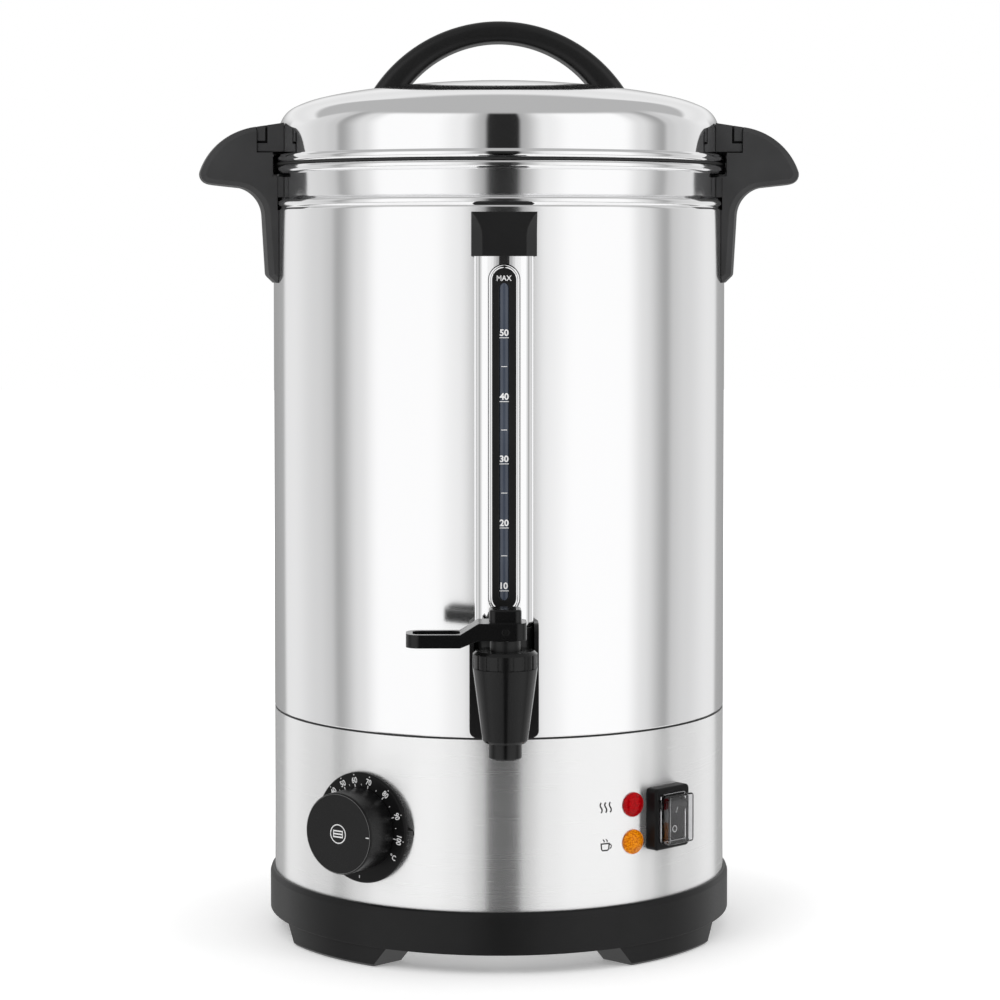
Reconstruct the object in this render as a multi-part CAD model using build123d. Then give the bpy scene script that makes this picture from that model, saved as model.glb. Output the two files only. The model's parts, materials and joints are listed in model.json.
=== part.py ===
"""Ten-litre hot water urn: steel tank on a brushed skirt and plastic base, twist lid,
side handles, sight gauge, lever tap, thermostat knob, signal lamps and rocker switch.

Millimetres. The urn is modelled about its own vertical axis, with the floor at z = 0 and
the tap towards -Y. save() moves every piece along Y, so that the origin of the written
files lies under the middle of the whole urn.
"""
from build123d import *
from math import asin, cos, hypot, pi, radians, sin, sqrt
import os

# ---------------------------------------------------------------- fits
SEAT = 0.1            # air between faces that bear on each other
RUN = 0.05            # radial running clearance of a shaft in its bore
SWING = 0.4           # air beside a piece that moves
HOLE = 0.3            # radial clearance of a screw or neck in its hole
BLIND = 8.0           # depth of the screws' and rivets' holes in plastic
CUT = 12.0            # cutters reach this far to both sides of the tank's wall

# ---------------------------------------------------------------- fasteners
SMALL_R = 1.5         # shank of the base's screws and the lugs' rivets
SMALL_HEAD = 3.2
TANK_SCREW_R = 2.0    # shank of the screws of the side handles and the gauge's cap
TANK_HEAD = 4.0
ARCH_SCREW_R = 2.5    # shank of the screws of the lid's handle
ARCH_HEAD = 4.5

# ---------------------------------------------------------------- body and base
BODY_R = 120.0        # outside radius of the tank and of the skirt
SHEET = 1.0           # sheet thickness of tank, skirt and lid
TANK_IN = BODY_R - SHEET
SEAM_Z = 117.6        # joint line between tank and skirt
SEAM_GAP = 0.5
SPIGOT = 4.0          # height of the skirt's tongue inside the tank
BASE_OUT = 2.5        # the plastic base stands out from the skirt
BASE_R = BODY_R + BASE_OUT
BASE_WALL = 3.0
FOOT_H = 10.3         # height of the feet below the base band
FOOT_IN = 1.0         # the feet stand this far inside the band
FOOT_AT = 47.2        # angle of each foot from the front or the back
FOOT_HALF = 14.3      # half the angle that a foot spans at the floor
FOOT_FLARE = 3.9      # extra half angle at the band
LEDGE_Z = 25.0        # the skirt stands on this ledge
BASE_LAP = 6.5        # the band rises this far above the ledge
BASE_TOP = LEDGE_Z + BASE_LAP
LEDGE_IN = 8.0        # width of the ledge
FLANGE_IN = 17.0      # width of the bottom flange
PLATE_T = 1.2         # bottom plate
SLOT_ROWS = ((12, 80.0), (8, 48.0))   # air slots: how many, and the radius of their ring
AIR_SLOT = (18.0, 4.0)
SKIRT_SCREW_TURN = 15.0               # the skirt's screws stand at this angle from the plate's

# ---------------------------------------------------------------- tank
FLOOR_UP = 14.4       # the tank's floor lies above the seam
TANK_FLOOR = SEAM_Z + FLOOR_UP        # its inside
FLOOR_R = 2.5         # inside radius of its corner
RIM_TOP = 404.2
NECK_H = 22.5         # from the bead's lower line to the top of the rim
BEAD_Z = RIM_TOP - NECK_H
BEAD_H = 5.0
BEAD_OUT = 0.4
NECK_IN = 2.7         # the neck stands back from the tank's wall
NECK_R = BODY_R - NECK_IN
ROLL_R = 2.4          # rolled edge of tank and of lid
ROLL_PROUD = 1.3      # both rolls stand out from the tank's wall
ROLL_OUT = BODY_R + ROLL_PROUD

# ---------------------------------------------------------------- lid
SEAL_T = 1.0          # thickness of the gasket's flange
LID_BOTTOM = RIM_TOP + SEAL_T + 2 * SEAT
LID_H = 44.1
LID_TOP = LID_BOTTOM + LID_H
LID_WALL_IN = 3.0     # the lid's wall stands back from the tank's
LID_WALL_R = BODY_R - LID_WALL_IN
CROWN_R = 760.0       # radius of the dome's middle
SHOULDER_W = 39.0     # from the lid's wall to where its shoulder starts
CROWN_EDGE = LID_WALL_R - SHOULDER_W
SHOULDER_R = 90.0
SHOULDER_END = 27.8   # slope where the corner starts, degrees
SEAL_ROOM = 3.9       # between the neck and the skirt that hangs in the tank
LID_SKIRT_R = NECK_R - SHEET - SEAL_ROOM
LID_SKIRT_H = 7.0
ARCH_OUT_R = 79.9     # outside of the lid's arched handle
ARCH_OUT_DROP = 48.3  # the arc's centre lies this far below the lid's top
ARCH_OUT_Z = LID_TOP - ARCH_OUT_DROP
ARCH_THINNER = 5.6    # the underside's radius is this much smaller
ARCH_IN_R = ARCH_OUT_R - ARCH_THINNER
ARCH_CROWN = 12.1     # depth of the arch at its middle
ARCH_IN_Z = ARCH_OUT_Z + ARCH_OUT_R - ARCH_CROWN - ARCH_IN_R
ARCH_W = 24.0
ARCH_BEVEL = 3.6
ARCH_SCREW_IN = 6.65  # from the arch's outer foot to its screw
ARCH_SCREW_X = sqrt(ARCH_OUT_R ** 2 - ARCH_OUT_DROP ** 2) - ARCH_SCREW_IN
LUG_HALF = 31.5       # half width of the lid's locking lugs
LUG_UP = 5.8          # the lugs start this far above the lid's lower edge
LUG_Z = LID_BOTTOM + LUG_UP
LUG_H = 15.1
LUG_TOP = LUG_Z + LUG_H
LUG_FOOT_H = 5.6
LUG_FOOT_TOP = LUG_Z + LUG_FOOT_H
LUG_DEPTH = 13.5      # the lugs stand out from the lid's wall
LUG_STEM_D = 8.2      # depth of the lug's stem
LUG_STEM_R = LID_WALL_R + SEAT + LUG_STEM_D
LUG_GROOVE = 1.2
LUG_GROOVE_DEPTH = 2.0
LUG_RIVET_AT = 9.0    # the rivets sit at this angle to both sides of the lug's middle
LUG_RIVET_UP = 6.3
LUG_RIVET_Z = LUG_Z + LUG_RIVET_UP

# ---------------------------------------------------------------- side handles
HANDLE_HALF = 32.7    # half width
HANDLE_BEVEL = 2.4
NOTCH_R = LID_WALL_R + SEAT + LUG_DEPTH + SWING   # the lugs swing inside this radius
NOTCH_Z = LUG_Z - SWING - SEAT
NOTCH_H = 13.5
NOTCH_TOP = NOTCH_Z + NOTCH_H
GRIP_MID_OUT = 16.5   # middle and tip of the grip's outer face, out from the notch and down
GRIP_MID_DROP = 6.9
GRIP_TIP_OUT = 29.4
GRIP_TIP_DROP = 28.8
GRIP_ROOT_OUT = 7.3   # inner end of the grip's underside, out from the tank
GRIP_ROOT_DROP = 32.5
NOSE_OUT = 4.7        # thickness of the leg near its lower end
NOSE_UP = 3.9         # and how far above that end
LEG_H = 39.0          # the leg reaches this far below the bead
GRIP_MID = (NOTCH_R + GRIP_MID_OUT, NOTCH_TOP - GRIP_MID_DROP)
GRIP_TIP = (NOTCH_R + GRIP_TIP_OUT, NOTCH_TOP - GRIP_TIP_DROP)
GRIP_ROOT = (BODY_R + GRIP_ROOT_OUT, NOTCH_TOP - GRIP_ROOT_DROP)
LEG_END_Z = BEAD_Z - LEG_H
LEG_NOSE = (BODY_R + NOSE_OUT, LEG_END_Z + NOSE_UP)
TIP_ROUND = 5.0
ROOT_ROUND = 16.0
NOSE_ROUND = 3.0
HANDLE_SCREW_DROP = 19.7              # below the bead
HANDLE_SCREW_Z = BEAD_Z - HANDLE_SCREW_DROP
HANDLE_SCREW_AT = 9.0

# ---------------------------------------------------------------- tap
TAP_OUT = 35.0        # from the tank's wall to the valve's axis
TAP_Y = BODY_R + TAP_OUT
INLET_UP = 18.0       # height of the way in above the tank's floor
INLET_Z = TANK_FLOOR + INLET_UP
INLET_R = 4.0
SEAT_DROP = 4.0       # the valve seat lies this far below the way in
SEAT_Z = INLET_Z - SEAT_DROP
SPOUT_L = 31.5        # from the seat to the bottom of the spout
TIP_Z = SEAT_Z - SPOUT_L
TIP_R = 8.2
TIP_H = 8.0
CONE_LOW_R = 11.1
CONE_TOP_R = 15.7
CHAMBER_H = 12.6      # from the seat to the top of the cone
CONE_TOP_Z = SEAT_Z + CHAMBER_H
OUTLET_R = 5.0
SHANK_R = 8.0
COLLAR_R = 15.6
COLLAR_H = 8.4
COLLAR_TOP = CONE_TOP_Z + COLLAR_H
COLLAR_RIBS = 16
THREAD_R = 12.4       # thread under the collar
COLLAR_LIP = 1.8      # thickness of the collar's lip over the guide's flange
FLANGE_H = 3.0        # the guide's flange and the lip together
GUIDE_R = 7.4
GUIDE_UP = 5.2        # the guide stands out above the collar
GUIDE_TOP = COLLAR_TOP + GUIDE_UP
STEM_R = 3.5
HUB_Z = GUIDE_TOP + SWING + SEAT
HUB_H = 8.3
HUB_TOP = HUB_Z + HUB_H
HUB_RIGHT = 10.2
HUB_LEFT = 13.0
HUB_DEPTH = 19.6
PIN_UP = 4.1          # height of the pin in the hub
PIN_Z = HUB_Z + PIN_UP
PIN_R = 1.5
ARM_DROP = 3.5        # the arm's underside lies this far below the hub's
ARM_Z = HUB_Z - ARM_DROP
ARM_H = 6.4
ARM_TOP = ARM_Z + ARM_H
ARM_STEP = 21.8       # where the level arm starts
ARM_END = 47.8
ARM_RIM = 3.2         # width of the loop's rim
ARM_ROUND = 6.5
EYE_SIDE = 1.8        # more room beside the stem in the hub, for the tilt
CAP_W = 15.6
CAP_H = 6.3
CAP_TOP = HUB_TOP + CAP_H
CUP_R = 8.5
CUP_TOP = 6.5         # height of the cup's top above the seat
BUTTON_H = 2.0        # button on the stem's foot that holds the cup
BUTTON_OUT = 1.5
BUTTON_UP = 3.0       # height of the button above the seat
CHAMBER_AIR = 1.6     # water round the cup
SPRING_WIRE = 0.6
SPRING_R = 6.2
SPRING_TURNS = 4

# ---------------------------------------------------------------- tap mount and gauge
MOUNT_W = 34.0
MOUNT_LOW = 29.3      # the mount reaches this far below and above the way in
MOUNT_Z = INLET_Z - MOUNT_LOW
MOUNT_UP = 12.0
MOUNT_TOP = INLET_Z + MOUNT_UP        # top between the ears
MOUNT_OUT = 13.0      # mount and guard stand out from the tank
MOUNT_FRONT = BODY_R + MOUNT_OUT
EAR_H = 14.6
EAR_TOP = MOUNT_TOP + EAR_H
EAR_T = 2.2
SHANK_IN = 14.0       # length of the mount's shank inside the tank
GASKET_T = 1.6
GASKET_BED = 1.0      # the gasket fills the tank's curve by this much
SHANK_NUT_H = 7.0
GUARD_W = 29.0
GUARD_FRONT = MOUNT_FRONT
GUARD_T = 0.8
GUARD_CORNER = 9.0
GUARD_DROP = 9.7      # the guard ends this far below the bead
GUARD_TOP = BEAD_Z - GUARD_DROP
SLOT_W = 15.8
SLOT_UP = 19.5        # from the mount to the slot
SLOT_Z = MOUNT_TOP + SLOT_UP
SLOT_DROP = 19.0      # from the slot to the guard's top
SLOT_TOP = GUARD_TOP - SLOT_DROP
SLOT_SINK = 1.4       # how far the slot's lip is turned in
STRIP_FACE_W = 11.9
STRIP_T = 1.2
STRIP_EDGE = 2.0      # the strip reaches this far behind the slot's edge
STRIP_UP = 1.2        # its face stands this far into the slot
WINDOW_W = 5.0
WINDOW_LOW = 6.7      # from the slot's ends to the window's
WINDOW_HIGH = 9.3
WINDOW_Z = SLOT_Z + WINDOW_LOW
WINDOW_TOP = SLOT_TOP - WINDOW_HIGH
TUBE_R = 4.0
TUBE_WALL = 1.0
SEAL_H = 5.0
SEAL_WALL = 1.2
TUBE_Y = BODY_R + SEAT + SEAL_WALL + TUBE_R
TUBE_DROP = 10.0      # the tube ends this far below the guard's top
TUBE_TOP = GUARD_TOP - TUBE_DROP
GCAP_W = 32.1
GCAP_LAP = 15.3       # the cap reaches this far down over the guard
GCAP_Z = GUARD_TOP - GCAP_LAP
GCAP_UP = 6.3
GCAP_TOP = GUARD_TOP + GCAP_UP
GCAP_PROUD = 4.5      # the cap stands out from the guard
GCAP_FRONT = GUARD_FRONT + GCAP_PROUD
GCAP_FACE_W = 21.7
GCAP_SIDE = 6.5       # the cap's side faces end this far behind its front
RIB_T = 2.0           # ribs in the cap, to both sides of the tube's upper seal
GAUGE_SCREW_DROP = 3.7
GAUGE_SCREW_Z = GCAP_TOP - GAUGE_SCREW_DROP

# ---------------------------------------------------------------- controls
KNOB_AT = -35.5       # angle from the front, positive to the right
KNOB_Z = 69.9
KNOB_R = 20.4
DIAL_R = 27.9
DIAL_OUT = 2.8        # the dial's face stands out from the skirt
DIAL_FACE = BODY_R + DIAL_OUT
DIAL_T = 2.0          # thickness of its disc
DIAL_BOSS_R = 13.0    # boss behind it that stands on the skirt
DIAL_HOLE = 9.0       # room for the thermostat's nut
KNOB_H = 18.7         # from the dial's face to the knob's
KNOB_FACE = DIAL_FACE + KNOB_H
KNOB_BORE = 12.0      # depth of the shaft in the knob
SHAFT_R = 3.0
BUSH_R = 5.0
BUSH_NUT_W = 14.0
BUSH_NUT_H = 2.0
STAT_W = 26.0
STAT_H = 30.0
STAT_DEPTH = 21.4
STAT_AIR = 1.6        # between the thermostat and the skirt
STAT_FRONT = TANK_IN - STAT_AIR
STAT_BACK = STAT_FRONT - STAT_DEPTH
LAMP_AT = 33.0
LAMP_Z = (81.3, 62.5)
LENS_R = 6.15
LENS_OUT = 3.2
LENS_NECK = 4.8
LAMP_BODY_R = 5.9
LAMP_BODY_L = 22.0
SWITCH_AT = 43.1
SWITCH_Z = 73.0
BEZEL_W = 25.0
BEZEL_H = 31.4
BEZEL_PROUD = 6.3     # the bezel stands out from the skirt
BEZEL_OUT = BODY_R + BEZEL_PROUD
SW_BODY_W = 20.0
SW_BODY_H = 26.0
SW_DEPTH = 28.3
SW_BODY_BACK = BEZEL_OUT - SW_DEPTH
ROCKER_W = 13.2
ROCKER_H = 20.4
ROCKER_OUT = 2.6      # the rocker stands this far out of the bezel
ROCKER_SAG = 1.6      # hollow of its face
PIVOT_IN = 4.8        # the rocker's axis lies this far inside the bezel's face
ROCKER_PIVOT = BEZEL_OUT - PIVOT_IN
ROCKER_ARC = 8.0
ROCKER_TILT = 8.0     # tilt at rest, with the lower half pressed in
ROCKER_AIR = 0.9      # more air above and below it, for the tilt
TRUNNION_R = 1.5
TRUNNION_L = 1.7
SWITCH_BLADES = (-9.0, 0.0, 9.0)
COVER_W = 18.6
COVER_H = 24.8
COVER_PROUD = 6.1     # the cover stands out from the bezel
COVER_OUT = BEZEL_OUT + COVER_PROUD
COVER_T = 0.9

# ---------------------------------------------------------------- heater and wiring
PLATE_R = 72.0        # aluminium heating plate
PLATE_H = 5.0
ELEMENT_R = 55.0
ELEMENT_TUBE = 3.4
ELEMENT_OPEN = 26.0   # angle left open between the element's two ends
LEG_DROP = 14.0
CLAMP_W = 16.0
CLAMP_T = 2.5
STUD_R = 3.0
CUTOUT_R = 8.0
CUTOUT_H = 9.0
CUTOUT_AT = (0.0, 32.0)
WARM_IN = 31.0        # the keep-warm ring lies this far inside the main one
WARM_R = ELEMENT_R - WARM_IN
WARM_TUBE = 2.5
BULB_R = 3.3
BULB_L = 44.0
BULB_IN = 21.0        # the bulb's axis lies this far inside the main element's ring
BULB_AT = (BULB_IN - ELEMENT_R, -2.0)
CAPILLARY_R = 0.8
CAPILLARY_BEND = 4.0
CAPILLARY_RUN = 18.0  # straight out of the thermostat
CAPILLARY_ASIDE = 6.0
CAPILLARY_DROPS = (38.0, 22.0)      # its bends lie this far below the bulb
CAPILLARY_OUT = (22.0, 12.0, 8.0)   # and this far in front of it
RESET_AT = (0.0, 60.0)
RESET_R = 4.0
RESET_TRAVEL = 2.0
BLOCK = (34.0, 18.0, 16.0)
BLOCK_X = -38.0
BLOCK_IN = 43.5       # from the middle of the terminal block to the base's wall
BLOCK_AT = (BLOCK_X, BASE_R - BASE_WALL - BLOCK_IN)
GLAND_Z = 60.0
GLAND_R = 8.0
GLAND_BORE = 3.8
GLAND_OUT = 16.0
GLAND_THREAD = 10.0   # reaches inside the skirt
GLAND_LAP = 4.0       # thread inside the gland's hexagon
LEAD_R = 1.5
LEAD_BEND = {"live_lead": 12.0, "switched_lead": 14.0, "heater_lead": 10.0, "neutral_lead": 8.0}
LIVE_TURNS = ((0.0, 86.0, 48.0), (58.0, 54.0, 52.0), (64.0, 0.0, 58.0))
SWITCHED_TURN = (10.0, -32.0, 66.0)
HEATER_TURN = (-44.0, 6.0, 74.0)
NEUTRAL_TURN = (-6.0, 68.0, 78.0)
LIVE_UP = 46.0        # heights where the leads from the block turn, and where they meet the legs
NEUTRAL_UP = 58.0
HEATER_LEG_Z = 84.0
NEUTRAL_LEG_Z = 90.0
SWITCH_RUNS = (38.0, 34.0)            # straight out of the switch
STAT_RUNS = (24.0, 22.0)              # straight out of the thermostat
BLADE = (4.8, 8.0, 0.8)

# ---------------------------------------------------------------- worked out
RIM_Z = RIM_TOP - ROLL_R
ROLL_AT = ROLL_OUT - ROLL_R
LID_ROLL_Z = LID_BOTTOM + ROLL_R
SKIRT_TOP = SEAM_Z - SEAM_GAP / 2
TANK_LOW = SEAM_Z + SEAM_GAP / 2
FLANGE_TOP = FOOT_H + BASE_WALL
PLATE_TOP = FLANGE_TOP + SEAT + PLATE_T
PLATE_SCREW_R = BASE_R - BASE_WALL - FLANGE_IN / 2
SKIRT_SCREW_R = BODY_R - LEDGE_IN / 2
CHAMBER_R = CUP_R + CHAMBER_AIR
GUIDE_LOW = COLLAR_TOP - FLANGE_H
SHANK_START = TANK_IN - SHANK_IN
HEATER_LOW = TANK_FLOOR - SHEET - SEAT - PLATE_H
CLAMP_LOW = HEATER_LOW - 2 * SEAT - 2 * ELEMENT_TUBE - CLAMP_T
ALL_HIGH = ARCH_OUT_Z + ARCH_OUT_R + CUT          # above the whole urn
FRONT_REACH = TAP_Y + CONE_TOP_R
BACK_REACH = BODY_R + GLAND_OUT
SHIFT_Y = (FRONT_REACH - BACK_REACH) / 2

UP = (Align.CENTER, Align.CENTER, Align.MIN)
DOWN = (Align.CENTER, Align.CENTER, Align.MAX)


# ---------------------------------------------------------------- helpers
def save(name, *solids):
    """Write one node, moved to the origin of the whole urn."""
    piece = Compound(children=[Pos(0, SHIFT_Y, 0) * s for one in solids for s in one.solids()])
    export_step(piece, f"parts/{name}.step")


def disc(radius, low, high, x=0.0, y=0.0):
    """Upright cylinder between two heights."""
    return Pos(x, y, low) * Cylinder(radius, high - low, align=UP)


def ring(outer, inner, low, high, x=0.0, y=0.0):
    """Upright tube between two heights."""
    return disc(outer, low, high, x, y) - disc(inner, low - 1, high + 1, x, y)


def slab(width, depth, low, high, x=0.0, y=0.0):
    """Upright block between two heights."""
    return Pos(x, y, low) * Box(width, depth, high - low, align=UP)


def lathe(*edges):
    """Solid of revolution about Z from edges in the XZ plane."""
    return revolve(make_face(Wire(list(edges))), Axis.Z)


def turned(*points):
    """Solid of revolution about Z from corner points (radius, height)."""
    corners = [(r, 0, z) for r, z in points]
    return revolve(make_face(Polyline(*corners, close=True)), Axis.Z)


def line(start, end):
    """Straight edge in the XZ plane."""
    return Line((start[0], 0, start[1]), (end[0], 0, end[1])).edge()


def arc(start, middle, end):
    """Arc in the XZ plane through three points."""
    return ThreePointArc(*[(r, 0, z) for r, z in (start, middle, end)]).edge()


def facing(angle, height):
    """Frame on the urn's side: x to the right, y up, z out from the urn's axis."""
    return Rot(0, 0, angle) * Pos(0, 0, height) * Rot(90, 0, 0)


def around(radius, angle):
    """Point at an angle from the front, positive to the right."""
    return radius * sin(radians(angle)), -radius * cos(radians(angle))


def side_hole(radius, angle, height):
    """Round cutter through the tank's or the skirt's wall."""
    return facing(angle, height) * Pos(0, 0, BODY_R - CUT) * Cylinder(radius, 2 * CUT, align=UP)


def blind_hole(radius, start, angle, height):
    """Round cutter outwards from a distance to the urn's axis, short enough to end in the piece."""
    return facing(angle, height) * Pos(0, 0, start) * Cylinder(radius, BLIND, align=UP)


def stadium(width, low, high, thick):
    """Slot-shaped prism in a facing frame, its round ends at two heights."""
    middle = (low + high) / 2
    return Pos(0, middle) * extrude(Rot(0, 0, 90) * SlotOverall(high - low, width), thick)


def screw(head_r, head_h, shank_r, length):
    """Round-head screw along +Z, with its head below z = 0 and a cross recess."""
    head = Cylinder(head_r, head_h, align=DOWN)
    head = fillet(head.edges().group_by(Axis.Z)[0], head_h * 0.4)
    cross = Box(head_r * 1.1, head_r * 0.25, head_h * 0.5, align=UP)
    cross += Box(head_r * 0.25, head_r * 1.1, head_h * 0.5, align=UP)
    return head + Cylinder(shank_r, length, align=UP) - Pos(0, 0, -head_h) * cross


def hex_nut(across, bore, height):
    """Hexagon nut standing on z = 0."""
    flat = RegularPolygon(across / 2, 6, major_radius=False) - Circle(bore)
    return extrude(flat, height)


def tube_path(points, bend):
    """Route of straight runs joined by arcs."""
    return FilletPolyline(*points, radius=bend)


def wire_tube(points, radius, bend):
    """Round lead or tube along a route."""
    path = tube_path(points, bend)
    start = path.edges()[0]
    plane = Plane(origin=start @ 0, z_dir=start % 0)
    return sweep(plane * Circle(radius), path)


# ---------------------------------------------------------------- base
def foot_block(angle):
    """Wedge that a foot is cut from: narrow at the floor, wide at the band."""
    low = BASE_R * sin(radians(FOOT_HALF))
    high = BASE_R * sin(radians(FOOT_HALF + FOOT_FLARE))
    side = Polyline((-low, 0), (low, 0), (high, FOOT_H), (-high, FOOT_H), close=True)
    return facing(angle, 0) * Pos(0, 0, BASE_R / 2) * extrude(make_face(side), BASE_R)


def base_ring():
    """Plastic base: band, ledge for the skirt, bottom flange and four feet."""
    inside = BASE_R - BASE_WALL
    bore = BODY_R + SEAT
    band = turned(
        (BASE_R, FOOT_H), (BASE_R, BASE_TOP - 2.6), (BASE_R - 0.6, BASE_TOP - 0.8),
        (BASE_R - 1.3, BASE_TOP), (bore, BASE_TOP), (bore, LEDGE_Z), (BODY_R - LEDGE_IN, LEDGE_Z),
        (BODY_R - LEDGE_IN, LEDGE_Z - BASE_WALL), (inside, LEDGE_Z - BASE_WALL), (inside, FLANGE_TOP),
        (inside - FLANGE_IN, FLANGE_TOP), (inside - FLANGE_IN, FOOT_H))
    foot_r = BASE_R - FOOT_IN
    foot_ring = turned((foot_r, FOOT_H + 0.5), (foot_r, 1.2), (foot_r - 1.2, 0),
                       (inside - FLANGE_IN, 0), (inside - FLANGE_IN, FOOT_H + 0.5))
    solid = band
    for angle in (-FOOT_AT, FOOT_AT, 180 - FOOT_AT, 180 + FOOT_AT):
        solid += foot_ring & foot_block(angle)
    for angle in range(0, 360, 90):
        x, y = around(PLATE_SCREW_R, angle)
        solid -= disc(SMALL_R + HOLE, FOOT_H - 1, FLANGE_TOP + 1, x, y)
        x, y = around(SKIRT_SCREW_R, angle + SKIRT_SCREW_TURN)
        solid -= disc(SMALL_R + HOLE, LEDGE_Z - BASE_WALL - 1, LEDGE_Z + 1, x, y)
    return solid


def bottom_plate():
    """Steel plate that closes the base, with air slots and the reset button's hole."""
    solid = disc(BASE_R - BASE_WALL - SWING, FLANGE_TOP + SEAT, PLATE_TOP)
    slot = Pos(0, 0, FLANGE_TOP - 1) * extrude(SlotOverall(*AIR_SLOT), PLATE_T + 2)
    for row, radius in SLOT_ROWS:
        for place in range(row):
            solid -= Rot(0, 0, (place + 0.5) * 360 / row) * Pos(radius, 0) * slot
    solid -= disc(RESET_R + SWING, FLANGE_TOP - 1, PLATE_TOP + 1, *RESET_AT)
    for angle in range(0, 360, 90):
        x, y = around(PLATE_SCREW_R, angle)
        solid -= disc(SMALL_R + SEAT, FLANGE_TOP - 1, PLATE_TOP + 1, x, y)
    return solid


def base_screws():
    """Eight like screws: four hold the bottom plate to the flange, four the skirt to the ledge."""
    one = screw(SMALL_HEAD, 2.0, SMALL_R, BASE_WALL + PLATE_T + 2.0)
    plate = [Pos(*around(PLATE_SCREW_R, a), FOOT_H - SEAT) * one for a in range(0, 360, 90)]
    under = LEDGE_Z - BASE_WALL - SEAT
    skirt = [Pos(*around(SKIRT_SCREW_R, a + SKIRT_SCREW_TURN), under) * one for a in range(0, 360, 90)]
    return plate + skirt


# ---------------------------------------------------------------- skirt and tank
def lower_shell():
    """Brushed skirt with a bottom flange, a joggled tongue and the control cut-outs."""
    spigot = TANK_IN - SEAT
    low = LEDGE_Z + SEAT
    solid = turned(
        (BODY_R, low), (BODY_R, SKIRT_TOP), (spigot, SKIRT_TOP), (spigot, SKIRT_TOP + SPIGOT),
        (spigot - SHEET, SKIRT_TOP + SPIGOT), (spigot - SHEET, SKIRT_TOP - 3),
        (TANK_IN, SKIRT_TOP - 5), (TANK_IN, low + SHEET), (BODY_R - LEDGE_IN, low + SHEET),
        (BODY_R - LEDGE_IN, low))
    solid -= side_hole(BUSH_R + HOLE, KNOB_AT, KNOB_Z)
    for height in LAMP_Z:
        solid -= side_hole(LENS_NECK + HOLE, LAMP_AT, height)
    cut = Pos(0, 0, BODY_R - CUT) * Box(SW_BODY_W + 2 * HOLE, SW_BODY_H + 2 * HOLE, 2 * CUT, align=UP)
    solid -= facing(SWITCH_AT, SWITCH_Z) * cut
    solid -= side_hole(GLAND_R + HOLE, 180, GLAND_Z)
    for angle in range(0, 360, 90):
        x, y = around(SKIRT_SCREW_R, angle + SKIRT_SCREW_TURN)
        solid -= disc(SMALL_R + SEAT, LEDGE_Z - 1, LEDGE_Z + SHEET + 2, x, y)
    return solid


def tank_screw_places():
    """Angle and height of each screw through the tank's wall."""
    handles = [(side + turn, HANDLE_SCREW_Z) for side in (-90, 90)
               for turn in (-HANDLE_SCREW_AT, HANDLE_SCREW_AT)]
    return handles + [(0, GAUGE_SCREW_Z)]


def tank():
    """Deep-drawn tank: wall, dished floor, bead, neck and rolled rim."""
    neck_in = NECK_R - SHEET
    bead_top = BEAD_Z + BEAD_H
    wall = lathe(
        line((BODY_R, TANK_LOW), (BODY_R, BEAD_Z - 0.6)),
        line((BODY_R, BEAD_Z - 0.6), (BODY_R - 0.5, BEAD_Z)),
        arc((BODY_R - 0.5, BEAD_Z), (BODY_R + BEAD_OUT, BEAD_Z + BEAD_H / 2), (BODY_R - 1, bead_top)),
        line((BODY_R - 1, bead_top), (NECK_R, bead_top + 0.9)),
        line((NECK_R, bead_top + 0.9), (NECK_R, RIM_Z)),
        line((NECK_R, RIM_Z), (neck_in, RIM_Z)),
        line((neck_in, RIM_Z), (neck_in, bead_top)),
        line((neck_in, bead_top), (TANK_IN, bead_top - 1.8)),
        line((TANK_IN, bead_top - 1.8), (TANK_IN, TANK_LOW)),
        line((TANK_IN, TANK_LOW), (BODY_R, TANK_LOW)))
    edge = TANK_IN - FLOOR_R
    top = TANK_FLOOR + FLOOR_R
    under_r = FLOOR_R + SHEET
    join = TANK_IN + SHEET / 2
    low_angle = asin((join - edge) / under_r)
    half = FLOOR_R * sqrt(0.5)
    dish = lathe(
        line((0, TANK_FLOOR - SHEET), (edge, TANK_FLOOR - SHEET)),
        arc((edge, TANK_FLOOR - SHEET),
            (edge + under_r * sin(low_angle / 2), top - under_r * cos(low_angle / 2)),
            (join, top - under_r * cos(low_angle))),
        line((join, top - under_r * cos(low_angle)), (join, top)),
        line((join, top), (TANK_IN, top)),
        arc((TANK_IN, top), (edge + half, top - half), (edge, TANK_FLOOR)),
        line((edge, TANK_FLOOR), (0, TANK_FLOOR)),
        line((0, TANK_FLOOR), (0, TANK_FLOOR - SHEET)))
    roll = Pos(0, 0, RIM_Z) * Torus(ROLL_AT, ROLL_R)
    solid = wall + dish + roll
    solid -= side_hole(SHANK_R + HOLE, 0, INLET_Z)
    for angle, height in tank_screw_places():
        solid -= side_hole(TANK_SCREW_R + HOLE, angle, height)
    return solid


# ---------------------------------------------------------------- lid
def lid_arc(centre, radius, start, end):
    """Arc of the lid's section; angles are slopes in radians from level."""
    middle = (start + end) / 2
    points = [(centre[0] + radius * sin(a), centre[1] + radius * cos(a)) for a in (start, middle, end)]
    return arc(*points)


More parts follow.
